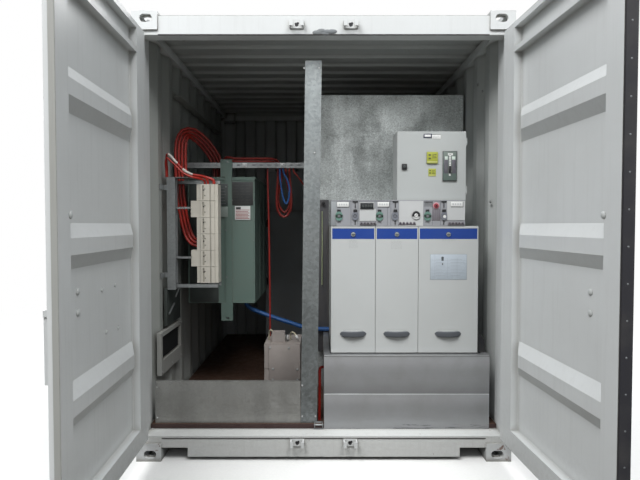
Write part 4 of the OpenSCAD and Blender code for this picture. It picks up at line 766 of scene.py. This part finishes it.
for x in (0.104, 0.378, 0.702):
    facia.plate(x - 0.012, x + 0.012, 1.6253, 1.6405, 0.003, SUNK, black_abs, 0.0015)
    for z in (1.5900, 1.6050):
        facia.peg(x, z, 0.0, 0.0066, 0.0232, teal_abs, 32)
    facia.plate(x - 0.0232, x + 0.0232, 1.5900, 1.6050, 0.0066, 0.0, teal_abs)
    facia.peg(x, 1.5975, 0.0060, 0.0070, 0.0145, deep_teal, 28)
    facia.peg(x, 1.5975, 0.0065, 0.0095, 0.0065, plum_abs, 6)
for x in (0.2135, 0.484, 0.812):
    facia.plate(x - 0.0175, x + 0.0175, 1.6900, 1.6990, 0.004, SUNK, black_abs, 0.001)
    facia.plate(x - 0.0025, x + 0.0025, 1.6550, 1.6910, 0.0045, SUNK, black_abs, 0.0008)
    facia.plate(x - 0.0125, x + 0.0125, 1.6255, 1.6425, 0.009, 0.0075, black_abs, 0.0030)
    facia.plate(x - 0.0025, x + 0.0025, 1.5405, 1.5690, 0.004, SUNK, black_abs, 0.0008)
for x0, x1 in ((0.245, 0.356), (0.506, 0.624), (0.840, 0.949)):
    facia.plate(x0, x1, 1.5375, 1.5435, 0.0045, SUNK, plum_abs, 0.001)
    for i in range(5):
        a = x0 + (x1 - x0) * (i + 0.5) / 5
        facia.peg(a, 1.5495, SUNK, 0.0085, 0.0092, plum_abs, 18, round_off=0.0025)
        facia.peg(a, 1.5495, 0.0080, 0.0092, 0.0038, black_abs, 12)
for x in (0.185, 0.232, 0.4312, 0.4545, 0.735, 0.789):
    facia.plate(x - 0.0007, x + 0.0007, 1.536, 1.702, 0.0004, SUNK)
for z in (1.569, 1.580, 1.591):
    facia.plate(0.514, 0.586, z, z + 0.0008, 0.0027, 0.0020, faint_card)
facia.plate(0.735, 0.789, 1.567, 1.646, 0.0012, SUNK, plum_abs, 0.0006)
for x in (0.747, 0.760, 0.773):
    facia.plate(x, x + 0.0012, 1.571, 1.642, 0.0016, -0.001, grey_abs)
facia.peg(0.7595, 1.668, SUNK, 0.004, 0.0225, pink_halo, 28, round_off=0.0015)
facia.peg(0.7595, 1.668, 0.003, 0.010, 0.0155, red_button, 28, round_off=0.002)
facia.peg(0.7595, 1.668, 0.0095, 0.0112, 0.006, black_abs, 16)
facia.peg(0.816, 1.5945, 0.004, 0.0095, 0.0105, card, 20, round_off=0.001)
for x0, x1 in ((0.051, 0.5115), (0.6775, 0.952)):
    facia.plate(x0, x1, 1.6985, 1.7005, 0.0008, SUNK)
facia.piece("facia_fittings")


# The gas pressure gauge: a black sector of tinted plastic, pressed into its moulded ring, round a white dial
# with fine grey marks, a pointer and a grey hub.
gauge = Form(black_abs)
centre = Vector((0.624, FACE - 0.0080, 1.604))
sweep = [math.radians(-20 + 11 * i) for i in range(21)]
outer = [centre + Vector((0.0274 * math.cos(a), 0, 0.0274 * math.sin(a))) for a in sweep]
inner = [centre + Vector((0.0127 * math.cos(a), 0, 0.0127 * math.sin(a))) for a in sweep]
for a, b, c, d in zip(outer, outer[1:], inner[1:], inner):
    gauge.prism([a, b, c, d], (0, -0.0018, 0))
gauge.rod(centre + Vector((0, 0.0030, 0)), centre + Vector((0, -0.0012, 0)), 0.0122, card, 28)
gauge.rod(centre + Vector((-0.0055, -0.0014, -0.004)), centre + Vector((0.006, -0.0014, 0.006)), 0.0009,
          sides=6)
gauge.rod(centre + Vector((0, -0.0010, 0)), centre + Vector((0, -0.0022, 0)), 0.0028, grey_abs, 14)
for i in range(9):
    a = math.radians(-8 + 24.5 * i)
    way = Vector((math.cos(a), 0, math.sin(a)))
    front = Vector((0, -0.0018, 0))
    gauge.rod(centre + way * 0.0215 + front, centre + way * 0.0258 + front, 0.0004, grey_abs, 6)
gauge.piece("pressure_gauge")


# The cable covers' screws: each cover hangs on one slotted round head of turned steel, which stands in a
# black plastic washer. Handling has dulled the zinc.
dull_steel = zinc("dull_turned_steel", "#8F9698", spangle=0.003, bloom=0.1)
COVER_MIDDLES = (0.2005, 0.496, 0.844)
screws = Form(dull_steel)
for x in COVER_MIDDLES:
    screws.rod((x, 0.1735, 1.475), (x, 0.1625, 1.475), 0.0125, dull_steel, 28, round_off=0.0015)
    screws.rod((x, 0.174, 1.475), (x, 0.1695, 1.475), 0.0158, black_abs, 28, round_off=0.001)
    screws.block((x - 0.0105, 0.1618, 1.4737), (x + 0.0105, 0.1630, 1.4763), black_abs)
screws.piece("cover_screws")


# The covers' bows: each cover lifts off by a bow moulded in dark plastic, a round-ended tray of one radius
# that swells out over its lip. The moulding has a light sheen.
bow_abs = coat("bow_dark_abs", "#565A5F", rough=0.36, grain=0.0006, dust="#77777A", toned=0.12)
BOW_R = 0.1645
BOW_AXIS = 0.306
BOW_BACK = 0.150
BOW_Z = 0.800
HALF_TALL = 0.0205
HALF_LONG = 0.088
bows = Form(bow_abs)
for x in COVER_MIDDLES:
    rings = []
    for i in range(33):
        a = math.radians(-33 + 66 * i / 32)
        over = max(0.0, BOW_R * abs(math.sin(a)) - (HALF_LONG - HALF_TALL))
        tall = math.sqrt(max(HALF_TALL * HALF_TALL - over * over, 1e-5))
        outline = [(BOW_R - 0.0045 * abs(f) ** 6, f) for f in [k / 6 - 1 for k in range(13)]]
        outline += [(BOW_BACK, 1.0), (BOW_BACK, -1.0)]
        rings.append([bows.mesh.verts.new((x + r * math.sin(a), BOW_AXIS - r * math.cos(a), BOW_Z + tall * f))
                      for r, f in outline])
    bows.mesh.faces.new(rings[0])
    bows.mesh.faces.new(rings[-1])
    for a, b in zip(rings, rings[1:]):
        for k in range(len(a)):
            n = (k + 1) % len(a)
            bows.mesh.faces.new((a[k], a[n], b[n], b[k]))
bows.piece("cover_bows")


# The third cover's information card: a laminated sheet in a thin grey rim, glued on, its table left without
# words. The covers' printed rules have worn to faint grey dashes.
sheet = coat("information_card", "#BCC6CF", rough=0.25, grain=0.0006, toned=0.12)
mark = coat("faint_print", "#98A1AA", rough=0.4, toned=0.05)
icon = coat("print_grey", "#565B60", rough=0.4, toned=0.05)
ghost = coat("ghost_print", "#A9ADAE", rough=0.5, toned=0.05)
PRINT_FRONT = 0.1684
PRINT_BACK = 0.1688
cards = Form(sheet)
cards.block((0.7215, 0.1688, 1.1675), (0.9695, 0.1705, 1.3405), mark, 0.0004)
cards.block((0.7235, 0.1686, 1.1695), (0.9675, 0.1700, 1.3385), sheet, 0.0004)
for i, z in enumerate((1.298, 1.276, 1.254, 1.232, 1.210, 1.188)):
    cards.block((0.731, PRINT_FRONT, z - 0.0007), (0.962, PRINT_BACK, z), mark)
    cards.block((0.760, PRINT_FRONT, z + 0.007), (0.800 + 0.011 * (i % 3), PRINT_BACK, z + 0.0085), mark)
    cards.block((0.858, PRINT_FRONT, z + 0.007), (0.925 + 0.012 * ((i + 1) % 3), PRINT_BACK, z + 0.0085),
                mark)
for x in (0.752, 0.838, 0.903):
    cards.block((x, PRINT_FRONT, 1.178), (x + 0.0008, PRINT_BACK, 1.318), mark)
cards.rod((0.8045, 0.1690, 1.316), (0.8045, 0.1683, 1.316), 0.009, icon, 18)
cards.block((0.797, 0.1683, 1.296), (0.812, 0.1688, 1.309), icon)
cards.block((0.800, 0.1683, 1.268), (0.809, 0.1688, 1.279), icon)
rng = random.Random(11)
for x0, x1, z0, rows in ((0.172, 0.2325, 1.384, 7), (0.4554, 0.5297, 1.378, 7), (0.800, 0.8875, 1.430, 2)):
    for i in range(rows):
        a = x0
        while a < x1 - 0.004:
            b = min(x1, a + rng.uniform(0.005, 0.017))
            cards.block((a, 0.1697, z0 + 0.0082 * i), (b, 0.1702, z0 + 0.0082 * i + 0.0016), ghost)
            a = b + rng.uniform(0.002, 0.006)
cards.piece("cover_card")


# The strip under the covers' feet: black extruded rubber, pushed on to the plinth's edge before the covers
# were hung, so that they stand on it.
foot = Form(mastic)
foot.block((0.052, 0.176, 0.6645), (1.045, 0.192, 0.6705), mastic, 0.001)
foot.piece("cover_foot_strip")


# The control box's door: a quarter-turn lock in a square black bezel, a bare name plate in its frame, and
# two yellow plates, riveted or glued on, left plain but for their marks.
yellow_plate = coat("yellow_green_plate", "#A2A739", rough=0.4, dust="#8C8B52", toned=0.2)
pale_yellow = coat("pale_yellow_plate", "#B4B76A", rough=0.4, dust="#8C8B52", toned=0.2)
dark_plate = coat("dark_plate", "#3C4444", rough=0.4, toned=0.15)
navy_frame = coat("name_plate_frame", "#252A44", rough=0.35, toned=0.1)
olive_mark = coat("plate_marks", "#4F5238", rough=0.5, toned=0.1)
FRONT = 0.2117
IN_DOOR = -0.001
box = Form(black_abs, FRONT)
box.plate(0.5325, 0.5675, 1.9150, 1.9535, 0.0105, IN_DOOR, black_abs, 0.002)
box.peg(0.550, 1.9342, 0.0100, 0.0130, 0.0085, dark_plate, 24, round_off=0.001)
box.plate(0.5490, 0.5510, 1.9285, 1.9400, 0.0137, 0.0127)
box.plate(0.6799, 0.7366, 2.1289, 2.1573, 0.0020, IN_DOOR, navy_frame, 0.0006)
box.plate(0.6870, 0.7290, 2.1355, 2.1510, 0.0025, 0.0015, card, 0.0004)
box.plate(0.7366, 0.7961, 2.1222, 2.1519, 0.0016, IN_DOOR, card, 0.0006)
box.plate(0.7370, 0.7955, 2.1500, 2.1519, 0.0019, 0.0010)
for i in range(3):
    box.plate(0.742, 0.770 + 0.008 * i, 2.128 + 0.006 * i, 2.1292 + 0.006 * i, 0.0018, 0.0012, grey_abs)
box.plate(0.702, 0.776, 1.956, 2.0335, 0.0100, IN_DOOR, yellow_plate, 0.001)
box.plate(0.7035, 0.7745, 1.9575, 1.9720, 0.0104, 0.0090, pale_yellow, 0.0005)
for x0, x1, z0, z1 in (
        (0.713, 0.728, 2.007, 2.018), (0.713, 0.728, 1.984, 1.9945), (0.741, 0.745, 1.990, 2.020),
        (0.750, 0.766, 2.014, 2.018), (0.750, 0.762, 2.003, 2.007), (0.750, 0.766, 1.992, 1.996)):
    box.plate(x0, x1, z0, z1, 0.0104, 0.0095, olive_mark)
box.plate(0.714, 0.765, 1.869, 1.922, 0.0016, IN_DOOR, yellow_plate, 0.0005)
box.plate(0.716, 0.763, 1.871, 1.882, 0.0019, 0.0012, pale_yellow)
for x0, x1, z0, z1 in (
        (0.720, 0.731, 1.904, 1.912), (0.720, 0.731, 1.888, 1.896), (0.738, 0.757, 1.906, 1.909),
        (0.738, 0.752, 1.897, 1.900), (0.738, 0.757, 1.888, 1.891)):
    box.plate(x0, x1, z0, z1, 0.0019, 0.0012, olive_mark)
box.piece("control_box_fittings", body="box_door")


# The breaker's face in the same door: a moulded front in its frame, with white scale marks, two pale green
# lamps and the black toggle between darker side fields. SCALE is how far its printed face stands out.
breaker_face = coat("breaker_face", "#5F6E68", rough=0.42, grain=0.0006)
side_field = coat("breaker_side_field", "#5B5A62", rough=0.45, toned=0.1)
green_lamp = coat("breaker_lamp_green", "#CBD8CF", rough=0.35, toned=0.1)
SCALE = 0.0088
breaker = Form(breaker_face, FRONT)
breaker.plate(0.8098, 0.9061, 1.8376, 2.0396, SCALE, 0.0050, black_abs, 0.001)
breaker.plate(0.8128, 0.9031, 1.8410, 2.0366, 0.0092, 0.0084, breaker_face, 0.0004)
for x in (0.8170, 0.8700):
    breaker.plate(x, x + 0.0300, 1.8880, 1.9980, 0.0096, SCALE, side_field, 0.0003)
breaker.plate(0.8440, 0.8780, 2.0098, 2.0247, 0.0105, SCALE, card, 0.001)
for i in range(8):
    z = 1.9394 + 0.0105 * i
    breaker.plate(0.8525, 0.8648, z, z + 0.0082, 0.0105, SCALE, card, 0.0006)
for x0, x1 in ((0.8234, 0.8439), (0.8706, 0.8945)):
    breaker.plate(x0, x1, 1.9800, 2.0030, 0.0110, SCALE, green_lamp, 0.001)
breaker.plate(0.8501, 0.8651, 1.8912, 1.9380, 0.0190, SCALE, black_abs, 0.002)
breaker.plate(0.8515, 0.8638, 1.8722, 1.8858, 0.0105, SCALE, card, 0.0006)
for i in range(6):
    z = 1.9292 + 0.0080 * i
    breaker.plate(0.8905, 0.8960, z, z + 0.0040, 0.0102, 0.0092, black_abs)
    breaker.plate(0.8255, 0.8370, z - 0.025, z - 0.0235, 0.0102, 0.0092, grey_abs)
breaker.piece("breaker_fittings", body="box_door")


# The busbar housings' plates: dark anodised ones for the ratings, left bare, and white cards with thin red
# rules. All are riveted or glued to the enamel.
red_rule = coat("red_rule", "#A64A4A", rough=0.5, toned=0.1)
pale_plate = coat("pale_rating_plate", "#8F9A94", rough=0.45, toned=0.15)
ink_plate = coat("ink_rating_plate", "#2D3032", rough=0.4, toned=0.15)
plates = Form(dark_plate)
plates.block((-0.7205, 0.7685, 1.6948), (-0.5561, 0.7715, 1.8782), ink_plate, 0.0008)
for i in range(7):
    for x0, x1 in ((-0.708, -0.664), (-0.655, -0.622), (-0.613, -0.570)):
        plates.block((x0, 0.7680, 1.712 + 0.023 * i), (x1 - 0.006 * (i % 3), 0.7687, 1.7135 + 0.023 * i))
plates.block((-0.699, 0.7683, 1.5775), (-0.5767, 0.7712, 1.6884), card, 0.0006)
for i in range(6):
    plates.block((-0.692, 0.7679, 1.587 + 0.011 * i), (-0.584 - 0.01 * (i % 2), 0.7684, 1.5915 + 0.011 * i),
                 red_rule)
plates.block((-0.690, 0.7679, 1.662), (-0.652, 0.7684, 1.680), ink_plate)
plates.block((-0.690, 0.7679, 1.655), (-0.584, 0.7684, 1.6585), red_rule)
plates.block((-0.824, 0.7620, 1.6885), (-0.754, 0.7655, 1.8625), dark_plate, 0.0008)
for i in range(6):
    plates.block((-0.816, 0.7616, 1.706 + 0.024 * i), (-0.768 - 0.006 * (i % 3), 0.7623, 1.7075 + 0.024 * i),
                 grey_abs)
plates.block((-0.824, 0.7620, 1.6010), (-0.754, 0.7650, 1.6810), pale_plate, 0.0006)
plates.piece("housing_plates")


# The housings' bolts and lid screws: hexagon bolts, dulled by dust, clamp the flanges between the two
# housings and the strap at its top; the strap's lower hole is empty.
FORWARD = (0, -1, 0)
dull_bolt = zinc("dusty_bolt_steel", "#8B9290", spangle=0.004, bloom=0.2)
fasten("housing_flange_bolts", hex_bolt, dull_bolt,
       [(x, 0.7645, z) for x, z in ((-0.8177, 1.8625), (-0.7675, 1.839), (-0.771, 1.498), (-0.819, 1.458),
                                    (-0.765, 1.124), (-0.813, 1.092))], FORWARD, 0.62)
fasten("strap_bolts", hex_bolt, dull_bolt, [(-0.7545, 0.7645, 2.0375)], FORWARD, 0.75)
# Painted shade: a black disc stands for the dark of the strap's empty lower hole
holes = Form(black_abs)
holes.rod((-0.7545, 0.7640, 0.796), (-0.7545, 0.7652, 0.796), 0.0075, black_abs, 20)
holes.piece("strap_hole")
fasten("lid_screws", pan_screw, dull_bolt,
       [(-0.728 + dx, 0.7695, 0.935 + 0.16 * i) for dx in (0.006, 0.180) for i in range(7)], FORWARD)


# The terminal box's cover: one plate of painted sheet steel, lying under the same dust as the box, held by
# six zinc-plated hexagon bolts.
plate = Form(box_coat)
plate.block((-0.4010, 0.4600, 0.3850), (-0.1735, 0.4622, 0.6520), box_coat, 0.0010)
plate.piece("terminal_box_plate")
fasten("terminal_box_bolts", hex_bolt, plated,
       [(x, 0.4602, z) for x, z in ((-0.3935, 0.634), (-0.2541, 0.631), (-0.3713, 0.475), (-0.1911, 0.472),
                                    (-0.3713, 0.396), (-0.1911, 0.396))], FORWARD, 0.72)


# On the terminal box's top stand a moulded clamp block and two cable tails in pale PVC, each crimped into a
# plated lug under a white sleeve and not connected yet.
tail_sheath = coat("pale_tail_sheath", "#B9B29A", rough=0.5)
tails = Form(tail_sheath)
tails.tube([(-0.250, 0.62, 0.657), (-0.250, 0.62, 0.69), (-0.247, 0.61, 0.712), (-0.235, 0.59, 0.722),
            (-0.216, 0.565, 0.716), (-0.203, 0.545, 0.700)], 0.0065)
tails.tube([(-0.413, 0.60, 0.657), (-0.413, 0.60, 0.70), (-0.409, 0.59, 0.728), (-0.398, 0.575, 0.742),
            (-0.384, 0.556, 0.736), (-0.376, 0.541, 0.722)], 0.0065)
for tip, way in (((-0.203, 0.545, 0.700), (0.013, -0.02, -0.016)),
                 ((-0.376, 0.541, 0.722), (0.008, -0.015, -0.014))):
    tip, way = Vector(tip), Vector(way).normalized()
    tails.rod(tip - way * 0.004, tip + way * 0.020, 0.0078, card, 16)
    tails.rod(tip + way * 0.019, tip + way * 0.034, 0.0045, plated, 12)
tails.block((-0.362, 0.560, 0.655), (-0.2645, 0.600, 0.700), grey_abs, 0.003)
for i in range(5):
    x = -0.352 + 0.0195 * i
    tails.block((x, 0.556, 0.668), (x + 0.011, 0.562, 0.706), card, 0.0012)
tails.piece("cable_tails")


# Painted shade: behind the fuse board two flat dark strips, edge to edge, cover the left housing's lower
# corner, which lies in shadow.
dark_sheet = coat("dark_grey_sheet", "#3A403E", rough=0.5, grain=0.0006, dust="#5C5F5B", toned=0.2)
shade_sheet = Form(dark_sheet)
shade_sheet.block((-1.0560, 0.7560, 0.9240), (-0.8300, 0.7600, 1.0760), dark_sheet, 0.0010)
shade_sheet.block((-1.0560, 0.7560, 1.0760), (-0.9550, 0.7600, 1.9000), dark_sheet, 0.0010)
shade_sheet.piece("housing_barrier")


# Over the hatch a dark folded bracket stands on the wall, with two bright galvanised stays bolted across it
# in line.
stays = Form(dark_sheet)
stays.block((-1.1660, 0.440, 0.800), (-1.1440, 0.790, 1.072), dark_sheet, 0.0015)
stays.tube([(-1.138, 0.470, 0.880), (-1.138, 0.600, 0.940)], 0.0065, galvanised, 10)
stays.tube([(-1.138, 0.640, 0.985), (-1.138, 0.760, 1.050)], 0.0065, galvanised, 10)
stays.piece("hatch_stays")


# A dark upright sheet as painted shade fills the gap between the post and the unit, where the room behind
# is in shadow, with a black gland at its top and a yellow-green earth wire clipped to its front.
earth_wire = coat("earth_wire_sheath", "#A9B58F", rough=0.45, toned=0.2)
gap_shade = coat("gap_painted_shade", "#46464A", rough=0.5, dust="#6B655C", toned=0.35)
gap_fill = Form(gap_shade)
gap_fill.block((-0.0400, 0.8800, 0.5000), (0.0470, 0.9220, 1.7424), gap_shade, 0.0015)
gap_fill.rod((0.0035, 0.8840, 1.715), (0.0035, 0.8500, 1.715), 0.0140, black_abs, 20, round_off=0.002)
gap_fill.tube([(-0.0068, 0.8700, 1.650), (-0.0060, 0.8690, 1.400), (-0.0080, 0.8700, 1.050)], 0.0035,
             earth_wire)
gap_fill.piece("cable_channel")


# White heat-shrink sleeves where the fuse board's front tail was made off, shrunk on in two lengths. They
# lie along the tail's own curve, which runs smoothly through these seven points.
sleeve = coat("white_heat_shrink", "#D9D3CC", rough=0.4, toned=0.2)
through = [Vector(p) for p in ((-1.150, 0.478, 2.010), (-1.136, 0.446, 2.050), (-1.112, 0.438, 2.042),
                               (-1.062, 0.436, 1.987), (-1.004, 0.440, 1.930), (-0.950, 0.462, 1.905),
                               (-0.896, 0.494, 1.900))]


def along(points, place):
    """The point at place on the smooth curve: 2.5 is halfway between points 2 and 3."""
    i = int(place)
    t = place - i
    a, b, c, d = points[i - 1:i + 3]
    bend = (2 * a - 5 * b + 4 * c - d) * t ** 2
    return 0.5 * (2 * b + (c - a) * t + bend + (3 * b - a - 3 * c + d) * t ** 3)


dressing = Form(sleeve)
for start, end in ((1.55, 3.05), (3.70, 4.90)):
    route = [along(through, start + (end - start) * k / 16) for k in range(17)]
    dressing.tube(route, [0.0084] + [0.0094] * 15 + [0.0084], sides=16)
dressing.piece("made_off_tail")


# The fuse modules' small parts: two plated terminal screws in each of the six modules, black discs down
# their front as painted shade in their screw recesses, and thin grey strips as painted shadow in their
# grooves.
MODULE = 0.122
fasten("fuse_terminal_screws", pan_screw, plated,
       [(-0.937 + 0.159 * 0.735, 0.5025, 1.108 + MODULE * (i + f)) for i in range(6) for f in (0.3, 0.7)],
       FORWARD, 0.9)
recess_shade_marks = Form(black_abs)
# Painted shade: black discs for the dark of the screw recesses, grey strips for the grooves' shadow lines
for z in (1.8364, 1.7958, 1.6740, 1.5571, 1.4883, 1.4171, 1.3056, 1.1890):
    recess_shade_marks.rod((-0.8838, 0.5040, z), (-0.8838, 0.5015, z), 0.0062, black_abs, 16)
for x in (-0.9061, -0.8320):
    recess_shade_marks.block((x - 0.0010, 0.5018, 1.112), (x + 0.0010, 0.5040, 1.836), grey_abs)
recess_shade_marks.piece("fuse_module_marks")


# The strut beam's fixings: plated hexagon bolts through square washers into channel nuts, where the beam
# meets the strap, its bracket and the post.
BEAM_BOLTS = (-0.62, -0.32, -0.12)
washers = Form(plated)
for x in BEAM_BOLTS:
    washers.block((x - 0.019, 0.7672, 1.9915), (x + 0.019, 0.7705, 2.0295), plated, 0.0008)
washers.piece("beam_washers")
fasten("beam_bolts", hex_bolt, plated, [(x, 0.7675, 2.0105) for x in BEAM_BOLTS], FORWARD)


# Sheet-metal screws, plated, with pan heads: they hold the kick panel and the centre post in front, and the
# edges of the sheet behind the unit.
POST_FACE = 0.1496
SHEET_FACE = 0.9245
front_screws = [(x, POST_FACE, z) for x, z in (
    (-1.128, 0.23), (-1.128, 0.44), (-0.145, 0.24), (-0.145, 0.45), (-0.055, 0.24), (-0.128, 2.58),
    (-0.030, 2.58), (-0.060, 2.02))]
edge_screws = [(x, SHEET_FACE, 0.8 + 0.28 * i) for x in (-0.08, 1.12) for i in range(7)]
top_screws = [(0.2 * i, SHEET_FACE, 2.575) for i in range(6)]
fasten("sheet_screws", pan_screw, plated, front_screws + edge_screws + top_screws, FORWARD, 1.2)


# The bracket at the post's foot: folded from galvanised sheet and screwed to the sill, it takes the kick
# panel's free end, and a pin runs through its two cheeks.
bracket = Form(galvanised)
for low, high in (((-0.062, 0.120, 0.164), (-0.058, 0.150, 0.206)),
                  ((-0.008, 0.120, 0.164), (-0.004, 0.150, 0.206)),
                  ((-0.062, 0.146, 0.164), (-0.004, 0.150, 0.206)),
                  ((-0.066, 0.118, 0.1635), (0.0, 0.152, 0.168))):
    bracket.block(low, high, galvanised, 0.0008)
bracket.rod((-0.064, 0.130, 0.190), (-0.002, 0.130, 0.190), 0.005, galvanised, 16)
bracket.piece("post_foot_bracket")


# The hatch in the left wall: a vent plate pressed from one sheet with nine louvres, painted a dull black and
# drawn near black as painted shade of the opening behind it. It sits in its folded frame under six plated
# screws.
vent_black_and_shade = coat("vent_black_painted_shade", "#0C0D0E", rough=0.8, toned=0.0, corners=0.0)
vent = Form(vent_black_and_shade)
vent.block((-1.1655, 0.312, 0.579), (-1.1630, 0.768, 0.745), vent_black_and_shade, 0.0005)
for i in range(9):
    z = 0.590 + 0.0165 * i
    vent.prism([(-1.1632, 0.325, z + 0.010), (-1.150, 0.325, z), (-1.150, 0.325, z + 0.0012),
                (-1.1632, 0.325, z + 0.0112)], (0, 0.430, 0))
vent.piece("hatch_louvres")
fasten("hatch_bolts", pan_screw, plated,
       [(-1.1368, y, z) for y in (0.30, 0.54, 0.78) for z in (0.50, 0.765)], (1, 0, 0), 1.3)


# Three plated hexagon bolts on the right wall: two high up, where a light's clip was bolted on, and one at
# chest height by the door.
fasten("wall_bolts", hex_bolt, plated,
       [(1.1697, y, z) for y, z in ((0.62, 2.60), (0.50, 2.52), (0.30, 1.70))], (-1, 0, 0), 0.9)


# The rear cabinet's door furniture: a swing handle moulded in black plastic and three pin hinges, bolted
# through the painted door.
furniture = Form(black_abs)
furniture.block((-0.155, 1.876, 1.00), (-0.125, 1.901, 1.16), black_abs, 0.004)
for z in (0.35, 0.93, 1.52):
    furniture.rod((-0.562, 1.893, z), (-0.562, 1.893, z + 0.07), 0.007, black_abs, 14)
furniture.piece("cabinet_furniture")
